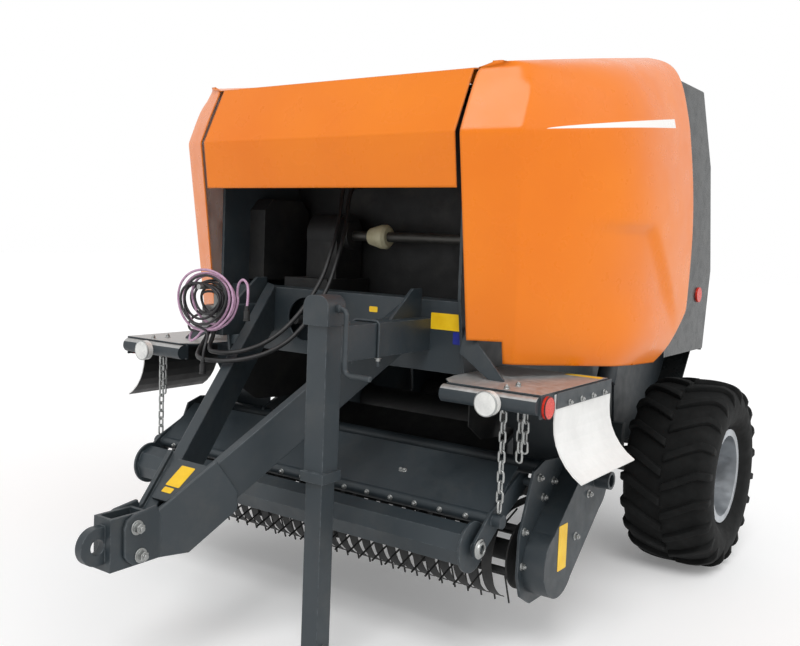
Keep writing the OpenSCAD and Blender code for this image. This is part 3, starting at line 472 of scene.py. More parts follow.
# Radius and distance from the tyre's middle, along the outside and back along the inside
tyre_outside = ((rim_r + 0.001, bead - 0.001), (rim_r + 0.024, bead - 0.001),
                (carcass - 0.15, tyre_half - 0.01), (carcass - 0.1, tyre_half),
                (carcass - 0.055, tyre_half - 0.008), (carcass - 0.022, tyre_half - 0.032),
                (carcass - 0.006, tyre_half - 0.08), (carcass, tyre_half - 0.14), (carcass + 0.001, 0))
tyre_inside = ((carcass - 0.026, 0), (carcass - 0.05, tyre_half - 0.05), (carcass - 0.1, tyre_half - 0.02),
               (carcass - 0.15, tyre_half - 0.028), (rim_r + 0.001, bead - 0.026))


def smooth_line(points, turns=6):
    """Points of a curve that passes through the given ones, with no corner."""
    ends = [points[0] * 2 - points[1]] + points + [points[-1] * 2 - points[-2]]
    line = []
    for i in range(1, len(ends) - 2):
        a, b, c, d = ends[i - 1:i + 3]
        for k in range(turns):
            t = k / turns
            bend = (2 * a - 5 * b + 4 * c - d) * t * t + (3 * b - a - 3 * c + d) * t ** 3
            line.append(0.5 * (2 * b + (c - a) * t + bend))
    return line + [points[-1]]


def copied(made, place):
    """A copy with its own mesh, set by a matrix."""
    twin = made.copy()
    twin.data = made.data.copy()
    bpy.context.scene.collection.objects.link(twin)
    twin.matrix_world = place @ made.matrix_world
    return twin


def turned(section, steps):
    """Piece turned about the X axis from a closed section of (radius, x) points."""
    deselect()
    bpy.ops.mesh.primitive_circle_add(vertices=len(section), fill_type="NOTHING")
    made = bpy.context.object
    for vertex, (radius, x) in zip(made.data.vertices, section):
        vertex.co = (x, 0, radius)
    bpy.ops.object.mode_set(mode="EDIT")
    bpy.ops.mesh.select_all(action="SELECT")
    bpy.ops.mesh.spin(steps=steps, angle=2 * math.pi, center=(0, 0, 0), axis=(1, 0, 0))
    bpy.ops.object.mode_set(mode="OBJECT")
    turned_out(made)
    return made


def tread_place(reach):
    """Point of the outside at a distance from the crown's middle: radius, x, and how far it leans out."""
    line = smooth_line([Vector((x, r, 0)) for r, x in reversed(tyre_outside)], 8)
    for a, b in zip(line, line[1:]):
        step = (b - a).length
        if reach <= step:
            at = a + (b - a) * reach / step
            return at.y, at.x, math.atan2(a.y - b.y, b.x - a.x)
        reach -= step
    return line[-1].y, line[-1].x, math.pi / 2


def bar_height(u):
    """Height of a bar's top: full on the crown, less down the shoulder, and less again at both ends."""
    end_drop = 0.004 if u < 0.02 or u > 0.98 else 0
    return (bar_h - 0.0005) * (1 - max(0, u - 0.62) ** 1.5 * 2.6) - end_drop


outer = smooth_line([Vector((r, x, 0)) for r, x in tyre_outside], 5)
hollow = smooth_line([Vector((r, x, 0)) for r, x in tyre_inside], 3)
tyre_section = [(v.x, v.y) for v in outer] + [(v.x, -v.y) for v in reversed(outer[:-1])]
tyre_section += [(v.x, -v.y) for v in reversed(hollow)] + [(v.x, v.y) for v in hollow[1:]]
for side, name in sides:
    tyre = turned(tyre_section, 96)
    # One bar: a block bent along the outside, narrower at its top
    deselect()
    bpy.ops.mesh.primitive_grid_add(x_subdivisions=18, y_subdivisions=3, size=1)
    bar = bpy.context.object
    bpy.ops.object.mode_set(mode="EDIT")
    bpy.ops.mesh.select_all(action="SELECT")
    bpy.ops.mesh.extrude_region_move(TRANSFORM_OT_translate={"value": (0, 0, 1)})
    bpy.ops.object.mode_set(mode="OBJECT")
    for vertex in bar.data.vertices:
        u, v, up = vertex.co.x + 0.5, vertex.co.y * 2, vertex.co.z > 0.5
        radius, x, lean = tread_place(-0.006 + bar_reach * u if u > 0.02 else 0)
        height = bar_height(u) if up else -0.006
        radius = min(radius + height * math.cos(lean), wheel_r - 0.0004)
        x = min(x + height * math.sin(lean), tyre_half - 0.0004)
        sweep = -math.tan(bar_slant) * (min(x, 0.150) - 0.07 + 0.12 * max(0, 0.03 - x))
        angle = (sweep + v * (bar_half_top if up else bar_half_foot)) / carcass
        vertex.co = (x, radius * math.sin(angle), -radius * math.cos(angle))
    turned_out(bar)
    eased_arrises(bar, 0.003, 40)
    deselect()
    far_bar = copied(bar, mirrored(-1))
    bars = []
    for i in range(bar_count):
        for source, row in ((bar, 1), (far_bar, -1)):
            turn = -2 * math.pi * (i + row / 4) / bar_count
            bars.append(copied(source, Matrix.Rotation(turn, 4, "X")))
    for spare in (bar, far_bar):
        bpy.data.objects.remove(spare)
    tyre = join([tyre] + bars)
    tyre.matrix_world = Matrix.Translation((side * wheel_x, AXLE, wheel_r)) @ mirrored(side)
    settle(tyre, "rubber_tyre_" + name, tyre_rubber, "wheel_" + name)
    turned_out(tyre)
    bpy.ops.object.shade_smooth_by_angle(angle=math.radians(35))
    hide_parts("tyre_" + name)


# Hub caps: small turned caps on the ends of the stub axles, zinc plated, faintly clouded, pressed on.
# They stand still while the wheels turn.
def facing(direction):
    """Turns a piece's z axis to a direction."""
    return Vector(direction).to_track_quat("Z", "Y").to_matrix().to_4x4()


zinc_plate = bright_metal("zinc_plate", colour(168, 170, 168), 0.36, 30)
for side, name in sides:
    deselect()
    bpy.ops.mesh.primitive_cylinder_add(vertices=32, radius=0.021, depth=0.024)
    cap = bpy.context.object
    cap.matrix_world = Matrix.Translation((side * 1.087, AXLE, wheel_r)) @ facing((1, 0, 0))
    apply_modifier(cap, "BEVEL", width=0.006, segments=3)
    settle(cap, "hub_cap_" + name, zinc_plate, "chassis")


# Platforms: a galvanised tread sheet, spangled and walked on, on a frame of tube and flat bar in the slate
# paint. A flat bar is welded between each side wall and its platform, and a sheet hangs from the platform's
# rear edge.
def sum_of(tree, operation, *terms):
    """One step of arithmetic on sockets and plain numbers."""
    step = tree.nodes.new("ShaderNodeMath")
    step.operation = operation
    for term, socket in zip(terms, step.inputs):
        if isinstance(term, (int, float)):
            socket.default_value = term
        else:
            tree.links.new(term, socket)
    return step.outputs[0]


def parted(tree, vector):
    """The three numbers of a vector socket, each by its own socket."""
    split = tree.nodes.new("ShaderNodeSeparateXYZ")
    tree.links.new(vector, split.inputs[0])
    return split.outputs


def eased(start, end, value):
    """0 at start, 1 at end, smooth between."""
    t = min(1, max(0, (value - start) / (end - start)))
    return t * t * (3 - 2 * t)


galvanised = bright_metal("galvanised", colour(186, 187, 186), 0.46, 55)
deck_tree = galvanised.node_tree
deck_shader = deck_tree.nodes["Principled BSDF"]
deck_skin = deck_shader.inputs["Base Color"]
deck_normal = deck_tree.nodes.new("ShaderNodeNewGeometry").outputs["True Normal"]
on_top = sum_of(deck_tree, "GREATER_THAN", parted(deck_tree, deck_normal)["Z"], 0.6)
deck_tree.links.new(mixed(deck_tree, on_top, slate, deck_skin.links[0].from_socket), deck_skin)
deck_tree.links.new(ranged(deck_tree, on_top, 0, 1, 0.05, 0.6), deck_shader.inputs["Metallic"])
dress(galvanised, "platform_left", "platform_right")
stay_outline = ((612, 1180), (618, 1180), (812, 1016), (812, 1010), (752, 1010), (612, 1090))
skirt_outline = ((612, 1003), (1020, 1003), (1020, 840), (960, 762), (876, 762), (872, 640), (656, 640),
                 (652, 762), (622, 762), (612, 900))
# Turns an outline of (x, z) points up, its thickness running forward
crosswise = Matrix.Rotation(math.pi / 2, 4, "X")
for side, name in sides:
    stay_place = Matrix.Translation((0, AXLE - 1.512, 0)) @ mirrored(side) @ crosswise
    stay = flat_plate(stay_outline, 8, stay_place)
    for vertex in stay.data.vertices:
        vertex.co.y -= 0.06 * eased(1.18, 1.01, vertex.co.z)
    turned_out(stay)
    settle(stay, "platform_stay_" + name, slate_paint, "chassis")
    skirt_place = Matrix.Translation((0, AXLE - 1.172, 0)) @ mirrored(side) @ crosswise
    skirt = flat_plate(skirt_outline, 4, skirt_place)
    turned_out(skirt)
    settle(skirt, "platform_skirt_" + name, slate_paint, "chassis")

# Flaps: sheets of rubber that hang bent from the platforms' outer edges, white on their outer faces and
# near-black on their inner faces. A flat steel strip clamps each one.
flap_white = moulded("flap_white", colour(222, 222, 220), colour(240, 240, 238), 0.5, 6, 0.0004)
flap_tree = flap_white.node_tree
flap_skin = flap_tree.nodes["Principled BSDF"].inputs["Base Color"]
flap_normal = flap_tree.nodes.new("ShaderNodeNewGeometry").outputs["True Normal"]
flap_place = flap_tree.nodes["Texture Coordinate"].outputs["Object"]
# The faces that look inwards, towards the machine's middle, are coloured near-black.
outwards = product(flap_tree, parted(flap_tree, flap_normal)["X"], parted(flap_tree, flap_place)["X"])
inner_face = sum_of(flap_tree, "LESS_THAN", outwards, -0.02)
flap_outside = flap_skin.links[0].from_socket
flap_tree.links.new(mixed(flap_tree, inner_face, flap_outside, colour(34, 34, 34)), flap_skin)
dress(flap_white, "flaps")
for side, name in sides:
    strip = block((1036, -1629, 952), (1039, -1161, 1006), mirrored(side) @ axle_frame)
    turned_out(strip)
    apply_modifier(strip, "BEVEL", width=0.001, segments=2)
    settle(strip, "flap_strip_" + name, slate_paint, "chassis")

# Lamps and reflectors: white and red moulded plastic lenses on the platforms and the tailgate. A
# zinc-plated bezel holds each front lens, and a black one each side reflector.
lamp_white = moulded("lamp_white", colour(205, 206, 204), colour(236, 236, 232), 0.3, 20, 0.0002)
dress(lamp_white, "front_lamps")
lamp_red = moulded("lamp_red", colour(196, 34, 20), colour(226, 58, 34), 0.28, 20, 0.0002)
dress(lamp_red, "side_reflectors", "rear_lamps")


def bezel(name, centre, direction, radius, wire, finish):
    """Round ring, its middle in the frame."""
    deselect()
    bpy.ops.mesh.primitive_torus_add(major_segments=48, minor_segments=10, major_radius=radius,
                                     minor_radius=wire)
    made = bpy.context.object
    made.matrix_world = Matrix.Translation(centre) @ facing(direction)
    settle(made, name, finish, "chassis")
    bpy.ops.object.shade_smooth()


lamp_low, lamp_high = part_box("front_lamps")
red_low, red_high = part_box("side_reflectors")
lamp_z = (lamp_low[2] + lamp_high[2]) / 2
red_y, red_z = (red_low[1] + red_high[1]) / 2, (red_low[2] + red_high[2]) / 2
for side, name in sides:
    lamp_centre = (side * 0.86, lamp_low[1] + 0.003, lamp_z)
    bezel("lamp_bezel_" + name, lamp_centre, (0, -1, 0), 0.0405, 0.0035, zinc_plate)
    red_centre = (side * (red_high[0] - 0.002), red_y, red_z)
    bezel("reflector_bezel_" + name, red_centre, (1, 0, 0), 0.0365, 0.0025, bay_black)

# Pickup: a welded frame with cheeks and a chain case in the slate paint, and between them the tined reel
# and the bent stripper bands, in black paint.
dress(slate_paint, "pickup_frame", "chain_case")
dress(bay_black, "strippers", "reel")

# Crop guard: a pipe with a bent sheet and a press roller, in the slate paint. The roller runs in turned
# flange housings in bare zinc, which sit on the outside of the guard's arms.
dress(slate_paint, "crop_guard", "press_roller")
bearing_section = ((0.0165, 0.0005), (0.034, 0.0005), (0.034, 0.005), (0.027, 0.0065), (0.0255, 0.0125),
                   (0.0165, 0.0135))
for side, name in sides:
    bearing = turned(bearing_section, 48)
    eased_arrises(bearing, 0.0008, 30)
    bearing.matrix_world = Matrix.Translation((side * 0.848, AXLE - 1.765, 0.47)) @ mirrored(side)
    settle(bearing, "press_bearing_" + name, zinc_plate, "guard")
    turned_out(bearing)
    bpy.ops.object.shade_smooth_by_angle(angle=math.radians(35))


# Guard chains: short-link zinc-plated chain between the platforms and the crop guard's pipe, with a spare
# end that doubles back beside each. The chains ride on the chassis and stay as they are when the guard lifts.
def chain(name, x, y, top, pitch, strands, wire=0.004, bend=0.011):
    """Links one below the other; a strand is its side step, its first link and its last one."""
    reach = (pitch + 2 * wire + 0.0005) / 2
    deselect()
    bpy.ops.mesh.primitive_torus_add(major_segments=24, minor_segments=8, major_radius=bend,
                                     minor_radius=wire, rotation=(math.pi / 2, 0, 0))
    link = bpy.context.object
    bpy.ops.object.transform_apply(location=True, rotation=True, scale=True)
    for vertex in link.data.vertices:
        vertex.co.z += math.copysign(reach - bend, vertex.co.z) if abs(vertex.co.z) > 1e-6 else 0
    links = []
    for step, first, last in strands:
        for i in range(first, last + 1):
            place = Matrix.Translation((x + step, y, top - wire - reach - i * pitch))
            quarter = math.pi / 2 * ((i + (step != 0)) % 2)
            links.append(copied(link, place @ Matrix.Rotation(quarter, 4, "Z")))
    bpy.data.objects.remove(link)
    made = settle(join(links), name, zinc_plate, "chassis")
    bpy.ops.object.shade_smooth()
    return made


for side, name in sides:
    low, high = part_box("guard_chain_" + name)
    pitch = (high[2] - low[2] - 0.0165) / 12
    hook = (side * 0.865, (low[1] + high[1]) / 2, high[2])
    made = chain("links_guard_" + name, *hook, pitch, ((0, 0, 11),))
    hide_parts("guard_chain_" + name)
    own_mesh(made)
    spare_strands = ((0, 0, 6), (side * 0.0195, 2, 5))
    chain("links_spare_" + name, side * 0.905, AXLE - 1.618, high[2], pitch, spare_strands)

# Tailgate: pressed sheet in a glossy dark grey, which mirrors the sky, on welded walls in the slate paint,
# with black rollers inside. Two cylinders lift it: painted barrels, and bright rods.
gate_grey = steel_paint("gate_grey", colour(36, 40, 41), colour(100, 104, 104), 0.24, 0.004)
gate_grey.node_tree.nodes["Principled BSDF"].inputs["Specular IOR Level"].default_value = 0.3
dress(gate_grey, "tailgate_cover", "tailgate_sides")
dress(slate_paint, "tailgate_walls", "barrel_left", "barrel_right")
dress(bay_black, "tailgate_rollers")
dress(zinc_plate, "rod_left", "rod_right")


# Hood and roof: orange gel-coated mouldings with a clear lacquer, slightly wavy, paler on their edges.
# The hood swings up on a pin under the roof sheet.
def orange_shell(name, flash=None):
    """flash: where the white flash starts and ends, its width there, its crease's height and slope."""
    made, tree, shader, place = new_finish(name)
    skin = shaded(tree, mottle(tree, place, 1.6), colour(231, 118, 10), colour(240, 130, 16))
    normal, edge = rounded_arris(tree, 0.014)
    rubbed = product(tree, edge, ranged(tree, mottle(tree, place, 24), 0.4, 0.7, 0, 0.2))
    skin = mixed(tree, rubbed, skin, colour(244, 150, 60))
    if flash:
        start, end, full_width, crease_height, crease_slope = flash
        at = parted(tree, place)
        # Height above the crease, as a share of the flash's own width there; none in front of its start
        drop = sum_of(tree, "MULTIPLY_ADD", at["Y"], -crease_slope, 0)
        above = sum_of(tree, "SUBTRACT", sum_of(tree, "ADD", drop, at["Z"]), crease_height)
        along = ranged(tree, at["Y"], start, end, 0.0001, 1)
        width = sum_of(tree, "MULTIPLY", sum_of(tree, "POWER", along, 0.6), full_width)
        inside = sum_of(tree, "COMPARE", sum_of(tree, "DIVIDE", above, width), 0.5, 0.5)
        behind = sum_of(tree, "GREATER_THAN", at["Y"], start)
        before = sum_of(tree, "LESS_THAN", at["Y"], end)
        inside = product(tree, inside, product(tree, behind, before))
        skin = mixed(tree, inside, skin, colour(244, 242, 238))
    tree.links.new(skin, shader.inputs["Base Color"])
    tree.links.new(ranged(tree, mottle(tree, place, 9), 0.3, 0.7, 0.24, 0.36), shader.inputs["Roughness"])
    shader.inputs["Specular IOR Level"].default_value = 0.28
    shader.inputs["Coat Weight"].default_value = 0.1
    shader.inputs["Coat Roughness"].default_value = 0.1
    relief(tree, shader, mottle(tree, place, 260, 1), 0.0004, 0.12, normal)
    return made


orange_hood = orange_shell("orange_hood")
dress(orange_hood, "front_hood", "roof_cover")

# Side panels: large hinged mouldings with a soft nose, a flat flank and a crease at the height of the
# hood's, laid up in glass fibre, trimmed at the foot to clear the platforms. They swing up on the roof's
# edge, and a white flash runs back along the crease.
orange_side = orange_shell("orange_side", (-0.53, 0.31, 0.036, 1.951, 0.1092))
dress(orange_side, "side_panel_left", "side_panel_right")
# In millimetres: the inner edge's distance from the middle, and how far the flank stands out from it
panel_in, bulge = 644, 445
# Height at the front, height at the rear, front edge, rear edge, overhang at the nose, share of the bulge
# at the middle and at the rear, and where the inner edge stands
panel_levels = (
    (1062, 1020, -1548, -660, 128, 0.86, 0.84, 0), (1110, 1090, -1558, -560, 134, 0.95, 0.92, 0),
    (1200, 1230, -1572, -440, 140, 1.00, 0.96, 0), (1500, 1560, -1615, -420, 152, 1.03, 0.975, 0),
    (1740, 1830, -1650, -418, 165, 1.00, 0.93, 0), (1874, 2010, -1670, -425, 172, 0.96, 0.88, 0),
    (1985, 2150, -1622, -428, 172, 0.88, 0.82, 0), (2070, 2250, -1580, -432, 160, 0.76, 0.745, 0),
    (2109, 2302, -1558, -436, 135, 0.62, 0.62, 0), (2126, 2322, -1542, -440, 85, 0.42, 0.42, 50),
    (2109, 2302, -1558, -436, 0, 0, 0, 0))
panel_columns = 7


def panel_place(row, column):
    low, high, front, rear, nose, middle, back, inner = panel_levels[row]
    nose_x = panel_in + nose + (18 if nose else 0)
    middle_x, rear_x = panel_in + middle * bulge, panel_in + back * bulge
    corner = front + 0.6 * (nose - inner)
    x, y = (
        (panel_in + inner, front),
        ((panel_in + inner + nose_x) / 2, (front + corner) / 2),
        (nose_x, corner),
        (nose_x + (middle_x - nose_x) * 0.25, corner + 90),
        (nose_x + (middle_x - nose_x) * 0.7, corner + 320),
        (middle_x, (front + rear) / 2 + 60),
        (rear_x, rear))[column]
    return from_axle(((x, y, low + (high - low) * (y - front) / (rear - front)),))[0]


def rows_of(edge):
    return [vertex // panel_columns for vertex in edge.vertices]


def columns_of(edge):
    return [vertex % panel_columns for vertex in edge.vertices]


for side, name in sides:
    deselect()
    bpy.ops.mesh.primitive_grid_add(x_subdivisions=panel_columns - 1,
                                    y_subdivisions=len(panel_levels) - 1, size=1)
    panel = bpy.context.object
    for vertex in panel.data.vertices:
        place = panel_place(vertex.index // panel_columns, vertex.index % panel_columns)
        vertex.co = (side * place.x, place.y, place.z)
    # Creases: along the flank, down the nose and along the top, and at the corners
    pick(panel, "EDGE", lambda edge: rows_of(edge) == [5, 5])
    bpy.ops.transform.edge_crease(value=0.75)
    pick(panel, "EDGE", lambda edge: columns_of(edge) == [2, 2] and max(rows_of(edge)) < 8)
    bpy.ops.transform.edge_crease(value=0.8)
    pick(panel, "EDGE", lambda edge: rows_of(edge) == [9, 9])
    bpy.ops.transform.edge_crease(value=0.6)
    pick(panel, "VERT", lambda vertex: vertex.index in (0, 1, 2, 6, 20))
    bpy.ops.transform.vert_crease(value=0.8)
    bpy.ops.object.mode_set(mode="OBJECT")
    apply_modifier(panel, "SUBSURF", levels=4, render_levels=4)
    # A shallow recess in the flank, with a slanting rear edge
    for vertex in panel.data.vertices:
        y, z = vertex.co.y - AXLE, vertex.co.z
        rear_edge = -0.907 + (1.557 - z) * 0.89
        lengthways = eased(-1.35, -1.0, y) * eased(rear_edge + 0.03, rear_edge - 0.03, y)
        upwards = eased(1.585, 1.55, z) * eased(1.1, 1.35, z)
        vertex.co.x -= side * 0.022 * lengthways * upwards
    pick(panel, "FACE", lambda face: True)
    bpy.ops.mesh.normals_make_consistent(inside=False)
    bpy.ops.object.mode_set(mode="OBJECT")
    if panel.data.polygons[len(panel.data.polygons) // 2].normal.x * side < 0:
        pick(panel, "FACE", lambda face: True)
        bpy.ops.mesh.flip_normals()
        bpy.ops.object.mode_set(mode="OBJECT")
    apply_modifier(panel, "SOLIDIFY", thickness=0.005, offset=-1)
    # The notch at the foot, over the platform
    deselect()
    bpy.ops.mesh.primitive_cube_add(size=1)
    cutter = bpy.context.object
    cutter.dimensions = (0.156, 0.4, 0.28)
    cutter.location = (side * 0.678, AXLE - 1.5, 1.0)
    bpy.context.view_layer.update()
    apply_modifier(panel, "BOOLEAN", operation="DIFFERENCE", object=cutter, solver="EXACT")
    bpy.data.objects.remove(cutter)
    deselect()
    panel.select_set(True)
    bpy.ops.object.shade_smooth_by_angle(angle=math.radians(40))
    settle(panel, "orange_panel_" + name, orange_side, "panel_" + name)
    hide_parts("side_panel_" + name)

# Hydraulic hoses: black braided rubber, from the front wall down over the drawbar and across to the hose
# rest, a zinc-plated block with a post and a peg at the front of the right rail, which holds their ends.
dress(zinc_plate, "hose_holder")
hose_black = moulded("hose_black", colour(18, 18, 19), colour(36, 36, 37), 0.5, 40, 0.0003)


def hose(name, route, radius, finish):
    """Round hose along a route: one open curve, with its thickness."""
    data = bpy.data.curves.new(name, "CURVE")
    data.dimensions = "3D"
    data.bevel_depth = radius
    data.bevel_resolution = 3
    data.use_fill_caps = True
    spline = data.splines.new("POLY")
    spline.points.add(len(route) - 1)
    for point, place in zip(spline.points, route):
        point.co = (*place, 1)
    made = bpy.data.objects.new(name, data)
    bpy.context.scene.collection.objects.link(made)
    data.materials.append(finish)
    return made


upper_route = smooth_line(from_axle((
    (-262, -1066, 1760), (-262, -1110, 1760), (-240, -1170, 1740), (-200, -1240, 1690), (-145, -1320, 1615),
    (-95, -1400, 1530), (-62, -1480, 1430), (-48, -1550, 1325), (-58, -1630, 1222), (-88, -1705, 1135),
    (-130, -1775, 1075), (-180, -1835, 1042), (-235, -1878, 1028), (-290, -1890, 1026), (-338, -1878, 1028),
    (-370, -1850, 1044), (-384, -1822, 1074), (-385, -1815, 1096), (-385, -1815, 1110))))
lower_route = smooth_line(from_axle((
    (-228, -1066, 1720), (-228, -1110, 1720), (-205, -1170, 1700), (-165, -1240, 1650), (-110, -1320, 1578),
    (-62, -1400, 1495), (-30, -1480, 1395), (-16, -1550, 1290), (-26, -1630, 1184), (-56, -1715, 1092),
    (-100, -1790, 1040), (-150, -1855, 1014), (-205, -1905, 1002), (-262, -1930, 999), (-325, -1932, 998),
    (-376, -1910, 1006), (-405, -1870, 1030), (-415, -1832, 1064), (-416, -1815, 1094), (-416, -1815, 1110))))
for name, route in (("hose_upper", upper_route), ("hose_lower", lower_route)):
    made = hose("rubber_" + name, route, 0.009, hose_black)
    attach(made, "chassis")
    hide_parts(name)

# Control cables: a black cable and a rose one, wound into one loose coil that hangs on the hose rest's peg.
# Each leaves the rest's side and ends in a plug.
cable_black = moulded("cable_black", colour(15, 14, 16), colour(34, 32, 36), 0.42, 60, 0.0002)
cable_rose = moulded("cable_rose", colour(168, 128, 158), colour(206, 170, 196), 0.42, 60, 0.0002)
# In millimetres: the coil's middle, half its width and half its height
coil_x, coil_y, coil_z = -363, -1873, 1224
coil_half_w, coil_half_h = 122, 98
# Places that the turns take one after the other round the bundle, and points in a turn
coil_places, turn_steps = 14, 12


def winding(first, turns, lead, tail):
    """Line of one cable: from the rest, round the coil from one of its places on, to the loose end."""
    wound = []
    last = round(turns * turn_steps)
    for k in range(last + 1):
        turn = 2 * math.pi * k / turn_steps - math.pi / 2
        lap = first + k / turn_steps
        place = math.pi / 2 + 2 * math.pi * lap / coil_places
        ease = eased(0, 6, min(k, last - k))
        stand = 28 * math.cos(place) - 34 * math.sin(1.3 * lap) ** 2 * ease
        drift = 26 * ease * math.cos(0.27 * k)
        wave = 7 * math.sin(2 * turn + 0.6)
        wound.append((coil_x + drift + (coil_half_w + stand) * math.cos(turn),
                      coil_y + 28 * math.sin(place) + wave,
                      coil_z + (coil_half_h + stand) * math.sin(turn)))
    return smooth_line(from_axle(lead + wound + tail))


def plug(name, tip, finish):
    """Round plug with a collar, hanging from the end of a cable."""
    parts = []
    for radius, depth, drop in ((0.0085, 0.018, 0.004), (0.0115, 0.034, 0.03), (0.0135, 0.006, 0.05)):
        deselect()
        bpy.ops.mesh.primitive_cylinder_add(vertices=24, radius=radius, depth=depth,
                                            location=tip - Vector((0, 0, drop)))
        apply_modifier(bpy.context.object, "BEVEL", width=0.0015, segments=2)
        parts.append(bpy.context.object)
    return settle(join(parts), name, finish, "chassis")


black_route = winding(
    0, 8,
    [(-440, -1815, 1160), (-485, -1820, 1152), (-512, -1832, 1124), (-498, -1842, 1097), (-455, -1842, 1090),
     (-408, -1838, 1103)],
    [(-335, -1904, 1105), (-310, -1920, 1091), (-296, -1942, 1067), (-290, -1958, 1036), (-288, -1964, 1000)])
rose_route = winding(
    9, 3.25,
    [(-440, -1815, 1125), (-475, -1822, 1112), (-492, -1838, 1082), (-480, -1858, 1058), (-445, -1878, 1056),
     (-402, -1886, 1078)],
    [(-219, -1855, 1262), (-204, -1862, 1300), (-172, -1872, 1316), (-140, -1882, 1298), (-128, -1890, 1258),
     (-128, -1894, 1215)])
for name, route, finish in (("black", black_route, cable_black), ("rose", rose_route, cable_rose)):
    cable = hose("cable_" + name, route, 0.005, finish)
    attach(cable, "chassis")
    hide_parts("cable_coil")
    end = plug("plug_" + name, route[-1], hose_black)


# Jack and rods: the parking jack is square tube in the slate paint, with a trip lever at its foot, and a
# painted rod is bent over the left rail as a clamp. Both rods are round steel bar, cold bent.
def bent_rod(name, body, places, radius, finish):
    """Rod through the given places, in millimetres from the axle, turned into a mesh."""
    made = hose(name, smooth_line(from_axle(places), 5), radius, finish)
    deselect()
    made.select_set(True)
    bpy.context.view_layer.objects.active = made
    bpy.ops.object.convert(target="MESH")
    settle(bpy.context.object, name, finish, body)
    bpy.ops.object.shade_smooth_by_angle(angle=math.radians(40))


dress(slate_paint, "jack_tube", "jack_leg", "jack_crank")
lever_places = [(436, -2080, 120), (470, -2080, 122), (500, -2080, 118), (522, -2078, 100), (534, -2070, 72)]
bent_rod("jack_lever", "jack", lever_places, 0.006, zinc_plate)
clamp_line = ((344, 1048), (344, 1120), (344, 1188), (349, 1202), (360, 1206), (400, 1206), (440, 1206),
              (451, 1202), (456, 1188), (456, 1120), (456, 1048))
bent_rod("rail_clamp", "chassis", [(x, -1840, z) for x, z in clamp_line], 0.005, slate_paint)


# Bolts: zinc-plated hexagon heads on washers, where the photo shows them, on the drawbar's nose, platforms,
# flaps, crop guard, pickup cheeks, wheel hubs and rail clamp.
def bolts(name, body, places, direction, across=0.019):
    """One row of like bolts: places in millimetres from the axle."""
    parts = []
    # Washer, head and the bolt's own end: corners, radius, depth and foot, as shares of the head's width
    for vertices, radius, depth, foot in ((24, 0.8, 0.12, 0), (6, 0.577, 0.6, 0.12), (12, 0.3, 0.28, 0.72)):
        deselect()
        bpy.ops.mesh.primitive_cylinder_add(vertices=vertices, radius=radius * across, depth=depth * across,
                                            location=(0, 0, (foot + depth / 2) * across))
        apply_modifier(bpy.context.object, "BEVEL", width=0.04 * across, segments=2)
        parts.append(bpy.context.object)
    bolt = join(parts)
    row = [copied(bolt, Matrix.Translation(place) @ facing(direction)) for place in from_axle(places)]
    bpy.data.objects.remove(bolt)
    settle(join(row), name, zinc_plate, body)


cheek_places = ((-1440, 660), (-1402, 581), (-1322, 626), (-1541, 485), (-1545, 362))
hub_places = [(72 * math.sin(math.pi * k / 3), 440 + 72 * math.cos(math.pi * k / 3)) for k in range(6)]
for side, name in sides:
    out = (side, 0, 0)
    bolts("nose_bolts_" + name, "chassis", [(side * 55, -2552, 556), (side * 55, -2536, 462)], out, 0.03)
    flap_places = [(side * 1039, y, 964) for y in (-1526, -1427, -1331, -1230)]
    bolts("flap_bolts_" + name, "chassis", flap_places, out, 0.013)
    deck_places = [(side * 889, y, 1010) for y in (-1700, -1617)]
    bolts("deck_bolts_" + name, "chassis", deck_places, (0, 0, 1), 0.016)
    bolts("cheek_bolts_" + name, "pickup", [(side * 900, y, z) for y, z in cheek_places], out)
    bolts("hub_nuts_" + name, "wheel_" + name, [(side * 1030, y, z) for y, z in hub_places], out, 0.02)
bolts("case_bolts", "pickup", [(985, -1294, 429), (985, -1190, 566)], (1, 0, 0))
bolts("guard_bolts", "guard", [(x, -1692, 546) for x in range(-749, 750, 107)], (0, -1, 0), 0.013)
bolts("sheet_studs", "guard", [(404, -1592, 627), (420, -1592, 627)], (0, -0.59, 0.81), 0.012)
bolts("clamp_nuts", "chassis", [(344, -1840, 1078), (456, -1840, 1078)], (0, 0, -1), 0.015)


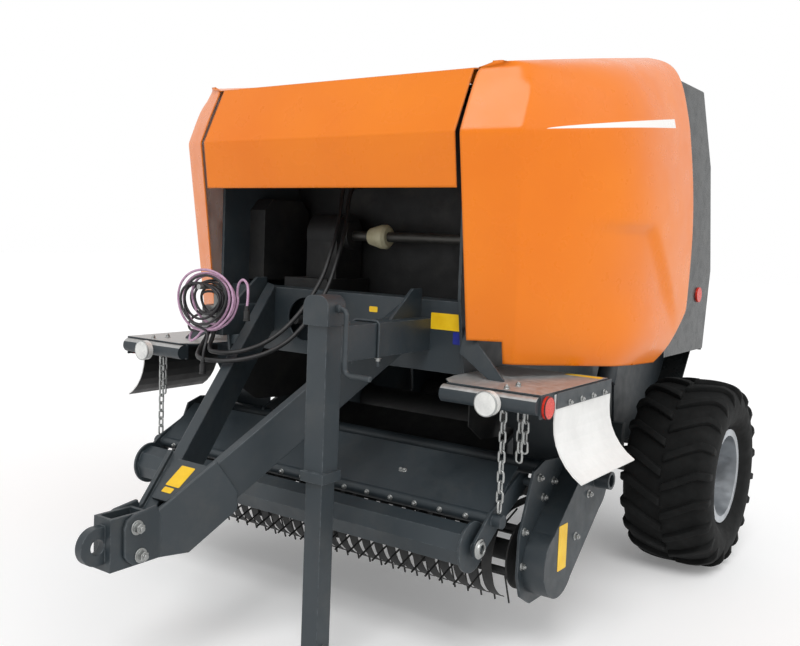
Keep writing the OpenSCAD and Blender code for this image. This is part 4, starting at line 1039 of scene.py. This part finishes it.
# Plates: thin film, plain yellow or plain blue, cut with round corners and stuck flat on the steel of the
# drawbar's nose, the cross beam, the left platform and the pickup's chain case.
def plate(name, body, centre, across, up, width, height, finish):
    """Thin plate on a surface: its centre in millimetres from the axle, two directions and two sizes."""
    across, up = Vector(across).normalized(), Vector(up).normalized()
    out = across.cross(up)
    deselect()
    bpy.ops.mesh.primitive_cube_add(size=1)
    made = bpy.context.object
    middle = from_axle((centre,))[0] + out * 0.0006
    made.matrix_world = Matrix.Translation(middle) @ Matrix((
        (across.x * width, up.x * height, out.x * 0.001, 0),
        (across.y * width, up.y * height, out.y * 0.001, 0),
        (across.z * width, up.z * height, out.z * 0.001, 0),
        (0, 0, 0, 1)))
    bpy.ops.object.transform_apply(location=True, rotation=True, scale=True)
    corners = made.data.vertices
    pick(made, "EDGE", lambda e: (corners[e.vertices[0]].co - corners[e.vertices[1]].co).length < 0.0015)
    bpy.ops.mesh.bevel(offset=0.004, segments=3)
    settle(made, name, finish, body)


label_yellow = moulded("label_yellow", colour(236, 186, 10), colour(250, 206, 30), 0.4, 18, 0.0002)
label_blue = moulded("label_blue", colour(24, 34, 120), colour(34, 46, 148), 0.4, 18, 0.0002)
slope = (0, 0.818, 0.575)
plate("nose_label", "chassis", (8, -2332.6, 668), (1, 0, 0), slope, 0.066, 0.09, label_yellow)
plate("nose_small_label", "chassis", (4, -2384, 631.8), (1, 0, 0), slope, 0.046, 0.022, label_yellow)
plate("beam_label", "chassis", (524, -1500, 1192), (1, 0, 0), (0, 0, 1), 0.145, 0.062, label_yellow)
plate("beam_small_label", "chassis", (180, -1500, 1214), (1, 0, 0), (0, 0, 1), 0.04, 0.022, label_yellow)
plate("lifting_label", "chassis", (574, -1500, 1134), (1, 0, 0), (0, 0, 1), 0.046, 0.046, label_blue)
plate("case_label", "pickup", (985, -1402, 415), (0, 1, 0), (0, 0, 1), 0.07, 0.165, label_yellow)
plate("deck_label", "chassis", (950, -1212, 1010), (1, 0, 0), (0, 1, 0), 0.14, 0.034, label_yellow)
